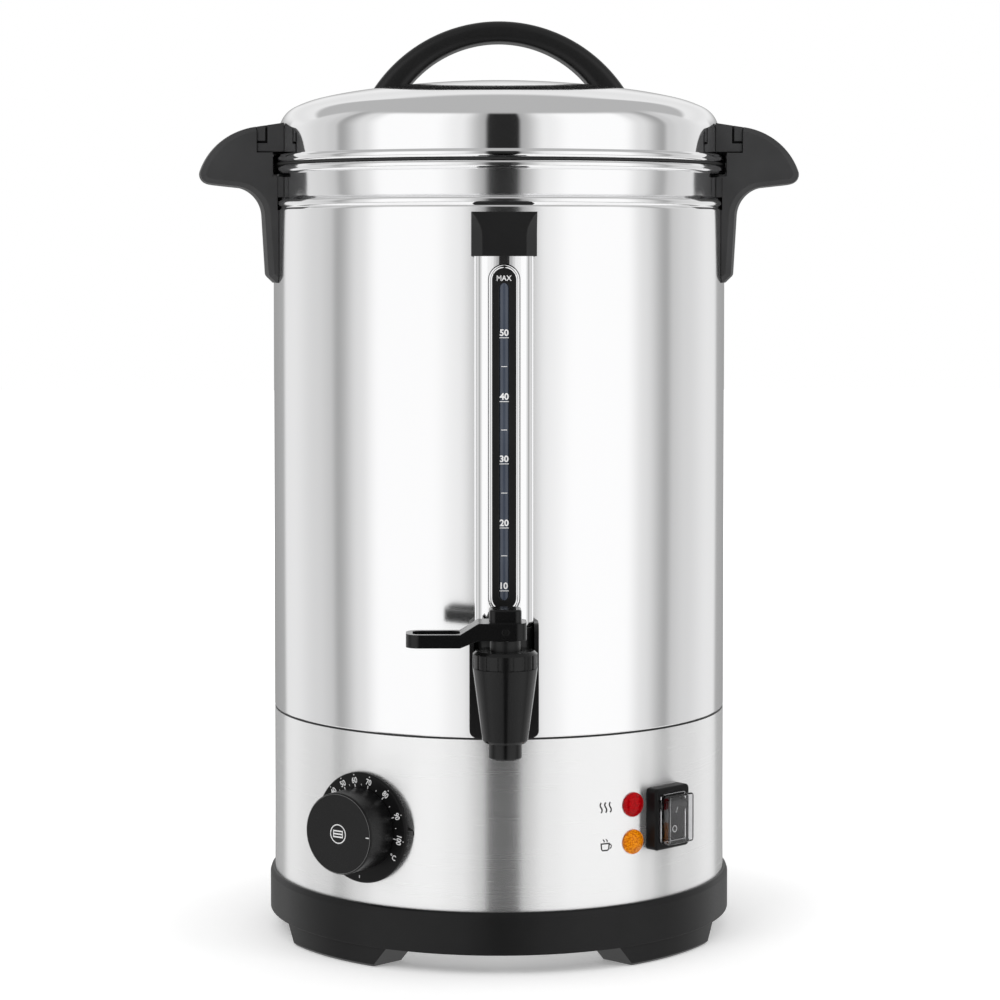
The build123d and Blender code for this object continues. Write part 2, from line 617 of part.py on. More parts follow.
def lid_section():
    """Centres, radii and slopes of the three arcs of the lid's outer face."""
    slope_1 = asin(CROWN_EDGE / CROWN_R)
    slope_2 = radians(SHOULDER_END)
    crown = (0.0, LID_TOP - CROWN_R)
    edge = (CROWN_EDGE, crown[1] + CROWN_R * cos(slope_1))
    shoulder = (edge[0] - SHOULDER_R * sin(slope_1), edge[1] - SHOULDER_R * cos(slope_1))
    turn = (shoulder[0] + SHOULDER_R * sin(slope_2), shoulder[1] + SHOULDER_R * cos(slope_2))
    corner_r = (LID_WALL_R - turn[0]) / (1 - sin(slope_2))
    corner = (LID_WALL_R - corner_r, turn[1] - corner_r * cos(slope_2))
    return ((crown, CROWN_R, 0.0, slope_1), (shoulder, SHOULDER_R, slope_1, slope_2),
            (corner, corner_r, slope_2, pi / 2))


def dome(drop, low):
    """Filled dome whose face lies the given distance inside the lid's outer face."""
    arcs = [lid_arc(centre, radius - drop, start, end) for centre, radius, start, end in lid_section()]
    wall = LID_WALL_R - drop
    corner_z = lid_section()[2][0][1]
    edges = arcs + [line((wall, corner_z), (wall, low)), line((wall, low), (0, low)),
                    line((0, low), (0, LID_TOP - drop))]
    return lathe(*edges)


def lid_shell():
    """Domed lid with a rolled edge and a skirt that hangs inside the tank."""
    solid = dome(0.0, LID_ROLL_Z) - dome(SHEET, LID_ROLL_Z - 1)
    solid += Pos(0, 0, LID_ROLL_Z) * Torus(ROLL_AT, ROLL_R)
    skirt_in = LID_SKIRT_R - SHEET
    solid += turned((ROLL_AT, LID_BOTTOM), (ROLL_AT, LID_BOTTOM + SHEET), (skirt_in, LID_BOTTOM + SHEET),
                    (skirt_in, LID_BOTTOM - LID_SKIRT_H), (LID_SKIRT_R, LID_BOTTOM - LID_SKIRT_H),
                    (LID_SKIRT_R, LID_BOTTOM))
    for x in (-ARCH_SCREW_X, ARCH_SCREW_X):
        solid -= disc(ARCH_SCREW_R + HOLE, LID_ROLL_Z + 10, LID_TOP + 1, x)
    for side in (-90, 90):
        for angle in (-LUG_RIVET_AT, LUG_RIVET_AT):
            solid -= side_hole(SMALL_R + HOLE, side + angle, LUG_RIVET_Z)
    return solid


def lid_seal():
    """Gasket ring between the tank's rim and the lid."""
    inner = LID_SKIRT_R + SWING
    outer = NECK_R - SHEET - SWING
    low = RIM_TOP + SEAT
    return turned((inner, low + SEAL_T), (ROLL_AT + 1.5, low + SEAL_T), (ROLL_AT + 1.5, low), (outer, low),
                  (outer, low - LID_SKIRT_H + 1), (inner, low - LID_SKIRT_H + 1))


def lid_handle():
    """Arched handle on the lid, bevelled along its upper edges."""
    outer = Pos(0, 0, ARCH_OUT_Z) * Rot(90, 0, 0) * Cylinder(ARCH_OUT_R, ARCH_W)
    inner = Pos(0, 0, ARCH_IN_Z) * Rot(90, 0, 0) * Cylinder(ARCH_IN_R, ARCH_W + 2)
    above = slab(4 * ARCH_OUT_R, ARCH_W, LID_TOP - 14, ARCH_OUT_Z + ARCH_OUT_R + 1)
    solid = (outer & above) - inner
    solid = chamfer(arcs_of(solid, ARCH_OUT_R), ARCH_BEVEL)
    solid = fillet(arcs_of(solid, ARCH_IN_R), ARCH_BEVEL / 2)
    solid -= dome(-SEAT, LID_ROLL_Z)
    for x in (-ARCH_SCREW_X, ARCH_SCREW_X):
        solid -= disc(ARCH_SCREW_R + SEAT, LID_ROLL_Z, LID_TOP + 4.5, x)
    return solid


def arcs_of(solid, radius):
    """Round edges of one radius."""
    return [e for e in solid.edges() if e.geom_type == GeomType.CIRCLE and abs(e.radius - radius) < 0.01]


def lid_height(radius):
    """Height of the lid's outer face at a radius inside the crown."""
    return LID_TOP - CROWN_R + sqrt(CROWN_R ** 2 - radius ** 2)


def lid_handle_screws():
    """Two screws from inside the lid into the ends of its handle."""
    under = lid_height(ARCH_SCREW_X + ARCH_HEAD) - SHEET - SEAT - HOLE
    one = screw(ARCH_HEAD, 2.5, ARCH_SCREW_R, LID_TOP + 4.0 - under)
    return [Pos(x, 0, under) * one for x in (-ARCH_SCREW_X, ARCH_SCREW_X)]


def slice_of(solid, side, half):
    """Part of a turned solid inside a band along X, on the left or the right."""
    return solid & slab(2 * BODY_R, 2 * half, 0, ALL_HIGH, x=side * BODY_R)


def lid_lug(side):
    """Locking lug on the lid: a foot with a hook above it, marked off by a groove."""
    inner = LID_WALL_R + SEAT
    outer = NOTCH_R - SWING
    section = turned((inner, LUG_Z), (outer, LUG_Z), (outer, NOTCH_TOP), (inner, LUG_TOP))
    solid = slice_of(section, side, LUG_HALF)
    groove = ring(LUG_STEM_R + LUG_GROOVE, LUG_STEM_R, LUG_FOOT_TOP, LUG_TOP + 1)
    groove += ring(NOTCH_R + 1, LUG_STEM_R, LUG_FOOT_TOP - LUG_GROOVE, LUG_FOOT_TOP)
    core = slab(4 * BODY_R, 2 * (LUG_HALF - LUG_GROOVE_DEPTH), 0, ALL_HIGH)
    solid -= groove - core
    for angle in (-LUG_RIVET_AT, LUG_RIVET_AT):
        solid -= blind_hole(SMALL_R + SEAT, LID_WALL_R, side * 90 + angle, LUG_RIVET_Z)
    return solid


def lug_rivets():
    """Four rivets from inside the lid's wall into the lugs."""
    one = screw(SMALL_HEAD, 1.4, SMALL_R, SHEET + SEAT + 6.0)
    start = LID_WALL_R - SHEET - SEAT
    return [facing(side + angle, LUG_RIVET_Z) * Pos(0, 0, start) * one
            for side in (-90, 90) for angle in (-LUG_RIVET_AT, LUG_RIVET_AT)]


# ---------------------------------------------------------------- side handles
def rounded(face, corner, radius):
    """Round one corner of a section in the XZ plane."""
    near = [v for v in face.vertices() if hypot(v.X - corner[0], v.Z - corner[1]) < 0.01]
    return fillet(near, radius)


def handle(side):
    """Side handle: wing grip, leg along the tank, notch for the lid's lug."""
    inner = BODY_R + SEAT
    bead = BODY_R + BEAD_OUT + 2 * SEAT
    rim = ROLL_OUT + 4 * SWING
    rim_low = RIM_TOP - 2 * ROLL_R - 1.2
    section = make_face(Wire([
        line((inner, LEG_END_Z), (inner + 0.6, LEG_END_Z)),
        line((inner + 0.6, LEG_END_Z), LEG_NOSE),
        line(LEG_NOSE, GRIP_ROOT),
        line(GRIP_ROOT, GRIP_TIP),
        arc(GRIP_TIP, GRIP_MID, (NOTCH_R, NOTCH_TOP)),
        line((NOTCH_R, NOTCH_TOP), (NOTCH_R, NOTCH_Z)),
        line((NOTCH_R, NOTCH_Z), (rim, NOTCH_Z)),
        line((rim, NOTCH_Z), (rim, rim_low)),
        line((rim, rim_low), (bead, rim_low)),
        line((bead, rim_low), (bead, BEAD_Z - 1)),
        line((bead, BEAD_Z - 1), (inner, BEAD_Z - 1)),
        line((inner, BEAD_Z - 1), (inner, LEG_END_Z))]))
    for corner, radius in ((GRIP_TIP, TIP_ROUND), (GRIP_ROOT, ROOT_ROUND), (LEG_NOSE, NOSE_ROUND)):
        section = rounded(section, corner, radius)
    solid = slice_of(revolve(section, Axis.Z), side, HANDLE_HALF)
    for front in (-HANDLE_HALF, HANDLE_HALF):
        solid = chamfer([e for e in solid.edges() if on_outline(e, front)], HANDLE_BEVEL)
    for angle in (-HANDLE_SCREW_AT, HANDLE_SCREW_AT):
        solid -= blind_hole(TANK_SCREW_R + SEAT, BODY_R - BLIND / 2, side * 90 + angle, HANDLE_SCREW_Z)
    return solid


def on_outline(edge, front):
    """Whether an edge lies in a handle's side face, on the outline away from the tank."""
    box = edge.bounding_box()
    if abs(box.min.Y - front) > 0.01 or abs(box.max.Y - front) > 0.01:
        return False
    return edge.geom_type != GeomType.LINE and (edge @ 0.5).Z > LEG_NOSE[1] - NOSE_ROUND / 2


def tank_screws():
    """Five like screws from inside the tank: two to each side handle, one to the gauge's cap."""
    head = 2.2
    one = screw(TANK_HEAD, head, TANK_SCREW_R, SHEET + SEAT + 3.6)
    start = TANK_IN - 2 * SEAT
    return [facing(angle, height) * Pos(0, 0, start) * one for angle, height in tank_screw_places()]


# ---------------------------------------------------------------- tap
def tap_body():
    """Tap: cone with a spout, valve chamber and the tube to the mount."""
    cone_low = TIP_Z + TIP_H
    solid = turned((0, TIP_Z), (TIP_R - 0.8, TIP_Z), (TIP_R, TIP_Z + 0.8), (TIP_R, cone_low),
                   (CONE_LOW_R - 0.8, cone_low), (CONE_LOW_R, cone_low + 1.2), (CONE_TOP_R, CONE_TOP_Z),
                   (THREAD_R, CONE_TOP_Z), (THREAD_R, GUIDE_LOW), (0, GUIDE_LOW))
    solid = Pos(0, -TAP_Y, 0) * solid
    reach = TAP_Y - MOUNT_FRONT - SEAT
    tube = facing(0, INLET_Z) * Pos(0, 0, MOUNT_FRONT + SEAT) * Cylinder(SHANK_R - 1, reach, align=UP)
    solid += tube
    solid -= disc(CHAMBER_R, SEAT_Z, COLLAR_TOP, 0, -TAP_Y)
    solid -= disc(OUTLET_R, TIP_Z - 1, SEAT_Z + 1, 0, -TAP_Y)
    way_in = facing(0, INLET_Z) * Pos(0, 0, MOUNT_FRONT - 1) * Cylinder(INLET_R - 1, reach, align=UP)
    return solid - way_in


def tap_collar():
    """Ribbed nut that holds the stem guide down on the tap."""
    low = CONE_TOP_Z + SEAT
    bevel = 1.6
    bore = GUIDE_R + SEAT + SWING
    under = COLLAR_TOP - COLLAR_LIP
    solid = turned((THREAD_R + SEAT, low), (COLLAR_R, low), (COLLAR_R, COLLAR_TOP - bevel),
                   (COLLAR_R - bevel, COLLAR_TOP), (bore, COLLAR_TOP), (bore, under), (THREAD_R + SEAT, under))
    for place in range(COLLAR_RIBS):
        groove = slab(1.6, 0.8, low - 1, COLLAR_TOP - bevel, y=COLLAR_R)
        solid -= Rot(0, 0, (place + 0.5) * 360 / COLLAR_RIBS) * groove
    return Pos(0, -TAP_Y, 0) * solid


def stem_guide():
    """Flanged bush in the collar that turns with the lever."""
    low = GUIDE_LOW + SEAT
    flange = COLLAR_TOP - COLLAR_LIP - SEAT
    solid = turned((STEM_R + RUN, low), (THREAD_R - 0.4, low), (THREAD_R - 0.4, flange), (GUIDE_R, flange),
                   (GUIDE_R, GUIDE_TOP), (STEM_R + RUN, GUIDE_TOP))
    return Pos(0, -TAP_Y, 0) * solid


def valve_stem():
    """Stem with an eye for the lever's pin and a button below for the cup."""
    button = SEAT_Z + BUTTON_UP
    solid = disc(STEM_R, button + BUTTON_H, PIN_Z + STEM_R)
    solid += disc(STEM_R + BUTTON_OUT, button, button + BUTTON_H)
    hole = Pos(0, 0, PIN_Z) * Rot(90, 0, 0) * Cylinder(PIN_R + RUN, 4 * STEM_R)
    return Pos(0, -TAP_Y, 0) * (solid - hole)


def seat_cup():
    """Soft cup on the stem's foot that closes the outlet."""
    top = SEAT_Z + CUP_TOP
    low = SEAT_Z + 3 * SEAT
    inner = STEM_R + SEAT
    button_r = STEM_R + BUTTON_OUT + SEAT
    button = SEAT_Z + BUTTON_UP - SEAT
    button_top = button + BUTTON_H + 2 * SEAT
    solid = turned((0, low), (OUTLET_R + 1.5, low), (CUP_R, low + 2.2), (CUP_R, top), (inner, top),
                   (inner, button_top), (button_r, button_top), (button_r, button), (0, button))
    return Pos(0, -TAP_Y, 0) * solid


def valve_spring():
    """Coil spring between the cup and the stem guide."""
    low = SEAT_Z + CUP_TOP + SPRING_WIRE + SEAT
    height = GUIDE_LOW - SPRING_WIRE - low
    helix = Helix(pitch=height / SPRING_TURNS, height=height, radius=SPRING_R)
    section = Plane(origin=helix @ 0, z_dir=helix % 0) * Circle(SPRING_WIRE)
    return Pos(0, -TAP_Y, low) * sweep(section, helix, is_frenet=True)


def tap_lever():
    """Lever: hub over the stem with a square cap, step down and a flat finger loop."""
    half = HUB_DEPTH / 2
    hub_w = HUB_LEFT + HUB_RIGHT
    hub = slab(hub_w, HUB_DEPTH, HUB_Z, HUB_TOP, x=HUB_RIGHT - hub_w / 2)
    right = [e for e in hub.edges().filter_by(Axis.Z) if (e @ 0.5).X > 0]
    hub = fillet(right, 5.0)
    side = Polyline((-HUB_LEFT, 0, HUB_TOP), (-ARM_STEP, 0, ARM_TOP), (-ARM_STEP, 0, ARM_Z),
                    (-HUB_LEFT, 0, HUB_Z), close=True)
    step = Pos(0, half, 0) * extrude(make_face(side), HUB_DEPTH, dir=(0, -1, 0))
    arm = slab(ARM_END - ARM_STEP, HUB_DEPTH, ARM_Z, ARM_TOP, x=-(ARM_END + ARM_STEP) / 2)
    far = [e for e in arm.edges().filter_by(Axis.Z) if (e @ 0.5).X < -ARM_END + 1]
    arm = fillet(far, ARM_ROUND)
    cap = fillet(slab(CAP_W, CAP_W, HUB_TOP - 1, CAP_TOP).edges().filter_by(Axis.Z), 3.0)
    cap = fillet(cap.edges().group_by(Axis.Z)[-1], 1.2)
    solid = hub + step + arm + cap
    hole_l = ARM_END - ARM_STEP - ARM_RIM
    window = RectangleRounded(hole_l, HUB_DEPTH - 2 * ARM_RIM, ARM_ROUND - ARM_RIM)
    hole = extrude(window, ARM_TOP - ARM_Z + 2)
    solid -= Pos(-ARM_END + ARM_RIM + hole_l / 2, 0, ARM_Z - 1) * hole
    eye_room = PIN_Z + STEM_R * sqrt(2) + SWING
    slot = STEM_R + SWING
    solid -= slab(2 * (slot + EYE_SIDE), 2 * slot, HUB_Z - 1, eye_room)
    pin_hole = Pos(0, 0, PIN_Z) * Rot(90, 0, 0) * Cylinder(PIN_R + RUN, 2 * HUB_DEPTH)
    return Pos(0, -TAP_Y, 0) * (solid - pin_hole)


def lever_pin():
    """Steel pin through the lever's hub and the stem."""
    return Pos(0, -TAP_Y, PIN_Z) * Rot(90, 0, 0) * Cylinder(PIN_R, HUB_DEPTH - 1)


# ---------------------------------------------------------------- tap mount and gauge
def against_tank():
    """Everything closer to the urn's axis than the outside of the tank."""
    return disc(BODY_R + SEAT, 0, ALL_HIGH)


def tap_mount():
    """Plastic mount on the tank: water way to the tap, socket for the sight tube, ears."""
    depth = MOUNT_FRONT - BODY_R + 12
    y = -(MOUNT_FRONT - depth / 2)
    block = slab(MOUNT_W, depth, MOUNT_Z, MOUNT_TOP, y=y)
    low = [e for e in block.edges().filter_by(Axis.Y) if (e @ 0.5).Z < MOUNT_Z + 1]
    block = fillet(low, 3.5)
    for side in (-1, 1):
        ear = slab(EAR_T, depth, MOUNT_Z + 8, EAR_TOP, x=side * (MOUNT_W - EAR_T) / 2, y=y)
        tip = [e for e in ear.edges().filter_by(Axis.X) if (e @ 0.5).Z > EAR_TOP - 1 and (e @ 0.5).Y < y]
        block += fillet(tip, 5.0)
    solid = block - against_tank()
    inlet = facing(0, INLET_Z) * Pos(0, 0, SHANK_START)
    solid += inlet * Cylinder(SHANK_R, BODY_R + 4 - SHANK_START, align=UP)
    solid -= inlet * Pos(0, 0, -1) * Cylinder(INLET_R, MOUNT_FRONT + 2 - SHANK_START, align=UP)
    solid -= disc(TUBE_R - TUBE_WALL, INLET_Z, MOUNT_TOP + 1, 0, -TUBE_Y)
    solid -= disc(TUBE_R + SEAL_WALL + SEAT, MOUNT_TOP - SEAL_H - SEAT, MOUNT_TOP + 1, 0, -TUBE_Y)
    return solid


def mount_gasket():
    """Soft washer on the shank inside the tank."""
    tube = Cylinder(SHANK_R + 5, 20, align=UP) - Cylinder(SHANK_R + SEAT, 20, align=UP)
    body = facing(0, INLET_Z) * Pos(0, 0, TANK_IN - GASKET_T - GASKET_BED) * tube
    return body & disc(TANK_IN - SEAT, 0, ALL_HIGH)


def shank_nut():
    """Hexagon nut on the shank inside the tank."""
    nut = hex_nut(25.0, SHANK_R + SEAT, SHANK_NUT_H)
    start = TANK_IN - GASKET_T - GASKET_BED - SEAT - SHANK_NUT_H
    return facing(0, INLET_Z) * Pos(0, 0, start) * nut


def gauge_guard():
    """Polished channel over the sight tube, with a long slot whose lip is turned in."""
    depth = GUARD_FRONT - BODY_R + 8
    y = -(GUARD_FRONT - depth / 2)

    def channel(inset, low, high):
        width = GUARD_W - 2 * inset
        block = slab(width, depth, low, high, y=y + inset)
        front = [e for e in block.edges().filter_by(Axis.Z) if (e @ 0.5).Y < y]
        return fillet(front, GUARD_CORNER - inset)

    outside = channel(0.0, MOUNT_TOP + SEAT, GUARD_TOP)
    solid = outside - channel(GUARD_T, 0, ALL_HIGH) - against_tank()
    front = facing(0, 0) * Pos(0, 0, GUARD_FRONT - GUARD_T - SLOT_SINK)
    lip = front * stadium(SLOT_W, SLOT_Z, SLOT_TOP, GUARD_T + SLOT_SINK)
    lip -= front * Pos(0, 0, -1) * stadium(SLOT_W - 2 * GUARD_T, SLOT_Z + GUARD_T, SLOT_TOP - GUARD_T, 6)
    cut = front * stadium(SLOT_W, SLOT_Z, SLOT_TOP, 6)
    return solid - cut + (lip & outside)


def scale_strip():
    """Black strip behind the guard's slot, with a window over the sight tube."""
    front = GUARD_FRONT - GUARD_T - SLOT_SINK - SEAT
    frame = facing(0, 0) * Pos(0, 0, front - STRIP_T)
    margin = (SLOT_W - STRIP_FACE_W) / 2
    low = SLOT_Z - STRIP_EDGE
    solid = frame * stadium(SLOT_W + 2 * STRIP_EDGE, low, SLOT_TOP + STRIP_EDGE, STRIP_T)
    solid += frame * stadium(STRIP_FACE_W, SLOT_Z + margin, SLOT_TOP - margin, STRIP_T + STRIP_UP)
    return solid - frame * Pos(0, 0, -1) * stadium(WINDOW_W, WINDOW_Z, WINDOW_TOP, 6)


def sight_tube():
    """Clear tube that shows the water's level."""
    low = MOUNT_TOP - SEAL_H + SEAT
    return ring(TUBE_R, TUBE_R - TUBE_WALL, low, TUBE_TOP, 0, -TUBE_Y)


def tube_seals():
    """Two soft rings on the ends of the sight tube."""
    low = MOUNT_TOP - SEAL_H
    lower = ring(TUBE_R + SEAL_WALL, TUBE_R + SEAT, low, MOUNT_TOP - SEAT, 0, -TUBE_Y)
    upper = ring(TUBE_R + SEAL_WALL, TUBE_R + SEAT, TUBE_TOP - SEAL_H, TUBE_TOP, 0, -TUBE_Y)
    return [lower, upper]


def gauge_cap():
    """Black cap over the guard's top, its front bevelled to both sides."""
    half = GCAP_W / 2
    face = GCAP_FACE_W / 2
    back = BODY_R - 8
    side_front = GCAP_FRONT - GCAP_SIDE
    outline = Polyline((-half, -back), (half, -back), (half, -side_front), (face, -GCAP_FRONT),
                       (-face, -GCAP_FRONT), (-half, -side_front), close=True)
    solid = Pos(0, 0, GCAP_Z) * extrude(make_face(outline), GCAP_TOP - GCAP_Z)
    solid -= against_tank()
    pocket_y = GUARD_FRONT - BODY_R + 8
    middle = GUARD_FRONT + SEAT - pocket_y / 2
    solid -= slab(GUARD_W + 2 * SEAT, pocket_y, GCAP_Z - 1, GUARD_TOP + SEAT, y=-middle)
    for side in (-1, 1):
        place = side * (TUBE_R + SEAL_WALL + SEAT + RIB_T / 2)
        solid += slab(RIB_T, 8.0, TUBE_TOP - SEAL_H + 1, GUARD_TOP + 1, x=place, y=-TUBE_Y)
    return solid - blind_hole(TANK_SCREW_R + SEAT, BODY_R - BLIND / 4, 0, GAUGE_SCREW_Z)


# ---------------------------------------------------------------- thermostat and knob
def thermostat_body():
    """Capillary thermostat with a threaded bush through the skirt."""
    frame = facing(KNOB_AT, KNOB_Z)
    depth = STAT_FRONT - STAT_BACK
    case = Pos(0, 0, STAT_BACK) * Box(STAT_W, STAT_H, depth, align=UP)
    case = fillet(case.edges().filter_by(Axis.Z), 2.0)
    case += Pos(0, 0, STAT_FRONT) * Cylinder(BUSH_R + 3, TANK_IN - SEAT - STAT_FRONT - 0.4, align=UP)
    case += Pos(0, 0, STAT_FRONT) * Cylinder(BUSH_R, DIAL_FACE - 0.6 - STAT_FRONT, align=UP)
    bore = Pos(0, 0, STAT_BACK + 4) * Cylinder(SHAFT_R + RUN, DIAL_FACE - STAT_BACK, align=UP)
    return frame * (case - bore)


def shaft_nut():
    """Nut that clamps the thermostat's bush to the skirt."""
    nut = hex_nut(BUSH_NUT_W, BUSH_R + SEAT, BUSH_NUT_H)
    return facing(KNOB_AT, KNOB_Z) * Pos(0, 0, BODY_R + SEAT + 0.2) * nut


def dial_plate():
    """Fixed flat dial behind the knob, with a boss shaped to the skirt."""
    frame = facing(KNOB_AT, KNOB_Z)
    body = Pos(0, 0, DIAL_FACE - DIAL_T) * Cylinder(DIAL_R, DIAL_T, align=UP)
    body = fillet(body.edges().group_by(Axis.Z)[-1], DIAL_T / 2)
    boss = DIAL_OUT + DIAL_BOSS_R
    body += Pos(0, 0, DIAL_FACE - boss) * Cylinder(DIAL_BOSS_R, boss - DIAL_T / 2, align=UP)
    body -= Pos(0, 0, DIAL_FACE - boss - CUT) * Cylinder(DIAL_HOLE, boss + 2 * CUT, align=UP)
    return frame * body - against_tank()


def knob():
    """Thermostat knob with a rounded face edge and a bore for the shaft."""
    low = DIAL_FACE + SWING
    body = Pos(0, 0, low) * Cylinder(KNOB_R, KNOB_FACE - low, align=UP)
    body = fillet(body.edges().group_by(Axis.Z)[-1], 1.2)
    body -= Pos(0, 0, low - 1) * Cylinder(SHAFT_R + SEAT, KNOB_BORE + 1, align=UP)
    return facing(KNOB_AT, KNOB_Z) * body


def thermostat_shaft():
    """Steel shaft from the thermostat into the knob."""
    start = STAT_BACK + 4 + SWING
    end = DIAL_FACE + SWING + KNOB_BORE - SEAT
    return facing(KNOB_AT, KNOB_Z) * Pos(0, 0, start) * Cylinder(SHAFT_R, end - start, align=UP)


# ---------------------------------------------------------------- lamps
def lens(height):
    """Signal lamp lens: low dome with a neck through the skirt."""
    sphere = (LENS_R ** 2 + LENS_OUT ** 2) / (2 * LENS_OUT)
    cap = Pos(0, 0, LENS_OUT - sphere) * Sphere(sphere)
    cap &= Cylinder(LENS_R, LENS_OUT + 1, align=UP)
    cap += Cylinder(LENS_R, 0.6, align=UP)
    body = Pos(0, 0, BODY_R + SEAT) * cap
    body += Pos(0, 0, BODY_R - 8) * Cylinder(LENS_NECK, 8 + SEAT + 0.3, align=UP)
    return facing(LAMP_AT, height) * body


def lamp_body(height):
    """Lamp holder behind the skirt with two blade terminals."""
    front = TANK_IN - SEAT - 0.3
    back = front - LAMP_BODY_L
    body = Pos(0, 0, back) * Cylinder(LAMP_BODY_R, LAMP_BODY_L, align=UP)
    body -= Pos(0, 0, BODY_R - 8 - SEAT) * Cylinder(LENS_NECK + SEAT, 20, align=UP)
    for x in (-2.5, 2.5):
        body += Pos(x, 0, back - 6) * Box(0.8, 4.0, 7, align=UP)
    return facing(LAMP_AT, height) * body


# ---------------------------------------------------------------- switch
def switch_housing():
    """Switch: bezel shaped to the skirt and a body with a well for the rocker."""
    frame = facing(SWITCH_AT, SWITCH_Z)
    bezel = Pos(0, 0, BODY_R - 6) * Box(BEZEL_W, BEZEL_H, BEZEL_OUT - BODY_R + 6, align=UP)
    bezel = fillet(bezel.edges().filter_by(Axis.Z), 2.2)
    bezel = fillet(bezel.edges().group_by(Axis.Z)[-1], 1.4)
    bezel = frame * bezel - against_tank()
    depth = BEZEL_OUT - SW_BODY_BACK
    body = Pos(0, 0, SW_BODY_BACK) * Box(SW_BODY_W, SW_BODY_H, depth - 1, align=UP)
    well_depth = BEZEL_OUT - ROCKER_PIVOT + ROCKER_ARC + 3
    well = Pos(0, 0, BEZEL_OUT - well_depth) * Box(
        ROCKER_W + 2 * SWING, ROCKER_H + 2 * (SWING + ROCKER_AIR), well_depth + 5, align=UP)
    across = ROCKER_W + 2 * TRUNNION_L + 2 * HOLE
    socket = Pos(0, 0, ROCKER_PIVOT) * Rot(0, 90, 0) * Cylinder(TRUNNION_R + RUN, across)
    return bezel + frame * body - frame * (well + socket)


def rocker():
    """Rocker with a hollow face on two trunnions, its lower half pressed in (off)."""
    top = BEZEL_OUT + ROCKER_OUT
    half = ROCKER_H / 2
    face = half - 0.8
    low = ROCKER_PIVOT - ROCKER_ARC
    side = [Line((0, -half, top - 1.2), (0, -half, ROCKER_PIVOT - 1)).edge(),
            ThreePointArc((0, -half, ROCKER_PIVOT - 1), (0, 0, low), (0, half, ROCKER_PIVOT - 1)).edge(),
            Line((0, half, ROCKER_PIVOT - 1), (0, half, top - 1.2)).edge(),
            Line((0, half, top - 1.2), (0, face, top)).edge(),
            ThreePointArc((0, face, top), (0, 0, top - ROCKER_SAG), (0, -face, top)).edge(),
            Line((0, -face, top), (0, -half, top - 1.2)).edge()]
    body = Pos(-ROCKER_W / 2, 0, 0) * extrude(make_face(Wire(side)), ROCKER_W, dir=(1, 0, 0))
    body += Pos(0, 0, ROCKER_PIVOT) * Rot(0, 90, 0) * Cylinder(TRUNNION_R, ROCKER_W + 2 * TRUNNION_L)
    tilted = Pos(0, 0, ROCKER_PIVOT) * Rot(ROCKER_TILT, 0, 0) * Pos(0, 0, -ROCKER_PIVOT) * body
    return facing(SWITCH_AT, SWITCH_Z) * tilted


def switch_cover():
    """Clear splash cover over the rocker, standing on the bezel."""
    low = BEZEL_OUT + SEAT
    height = COVER_OUT - low
    outer = Pos(0, 0, low) * Box(COVER_W, COVER_H, height, align=UP)
    outer = fillet(outer.edges().filter_by(Axis.Z), 1.6)
    outer = fillet(outer.edges().group_by(Axis.Z)[-1], 1.0)
    room = Box(COVER_W - 2 * COVER_T, COVER_H - 2 * COVER_T, height + 1 - COVER_T, align=UP)
    inner = Pos(0, 0, low - 1) * room
    return facing(SWITCH_AT, SWITCH_Z) * (outer - inner)


def switch_blades():
    """Three blade terminals on the back of the switch."""
    frame = facing(SWITCH_AT, SWITCH_Z)
    start = SW_BODY_BACK - SEAT
    return [frame * Pos(0, y, start) * Box(*BLADE[::2], BLADE[1], align=DOWN) for y in SWITCH_BLADES]


# ---------------------------------------------------------------- heater
def heating_plate():
    """Aluminium plate pressed against the tank's floor."""
    return ring(PLATE_R, STUD_R + SEAT, HEATER_LOW, HEATER_LOW + PLATE_H)


def open_ring(radius, tube, centre_z, opening):
    """Ring of round tube with a gap towards the back and two legs down at its ends."""
    angle = opening / 2
    section = Pos(0, radius, centre_z) * Rot(0, 90, 0) * Circle(tube)
    bent = Rot(0, 0, angle) * revolve(section, Axis.Z, 360 - opening)
    for side in (-1, 1):
        x = side * radius * sin(radians(angle))
        y = radius * cos(radians(angle))
        bent += disc(tube, centre_z - LEG_DROP, centre_z, x, y)
        bent += Pos(x, y, centre_z) * Sphere(tube)
    return bent


def heating_element():
    """Main heating element under the plate."""
    return open_ring(ELEMENT_R, ELEMENT_TUBE, HEATER_LOW - SEAT - ELEMENT_TUBE, ELEMENT_OPEN)


def warming_element():
    """Small element that keeps the water warm."""
    return open_ring(WARM_R, WARM_TUBE, HEATER_LOW - SEAT - WARM_TUBE, 2 * ELEMENT_OPEN)


def element_clamp():
    """Steel bar on the stud that presses element and plate against the tank."""
    bar = slab(2 * ELEMENT_R + 2 * CLAMP_W, CLAMP_W, CLAMP_LOW, CLAMP_LOW + CLAMP_T)
    return bar - disc(STUD_R + SEAT, CLAMP_LOW - 1, CLAMP_LOW + CLAMP_T + 1)


def clamp_stud():
    """Stud welded under the tank's floor, with its nut below the bar."""
    top = TANK_FLOOR - SHEET - SEAT
    stud = disc(STUD_R, CLAMP_LOW - 9, top)
    nut = Pos(0, 0, CLAMP_LOW - SEAT - 5) * hex_nut(10.0, STUD_R + SEAT, 5.0)
    return [stud, nut]


def thermal_cutout():
    """Boil-dry cut-out held against the heating plate."""
    x, y = CUTOUT_AT
    top = HEATER_LOW - SEAT
    solid = disc(CUTOUT_R, top - CUTOUT_H, top, x, y)
    solid += slab(2 * CUTOUT_R + 12, 7, top - 1.2, top, x, y)
    for side in (-1, 1):
        solid += slab(1, 5, top - CUTOUT_H - 7, top - CUTOUT_H + 1, x + side * 4.5, y)
    return solid


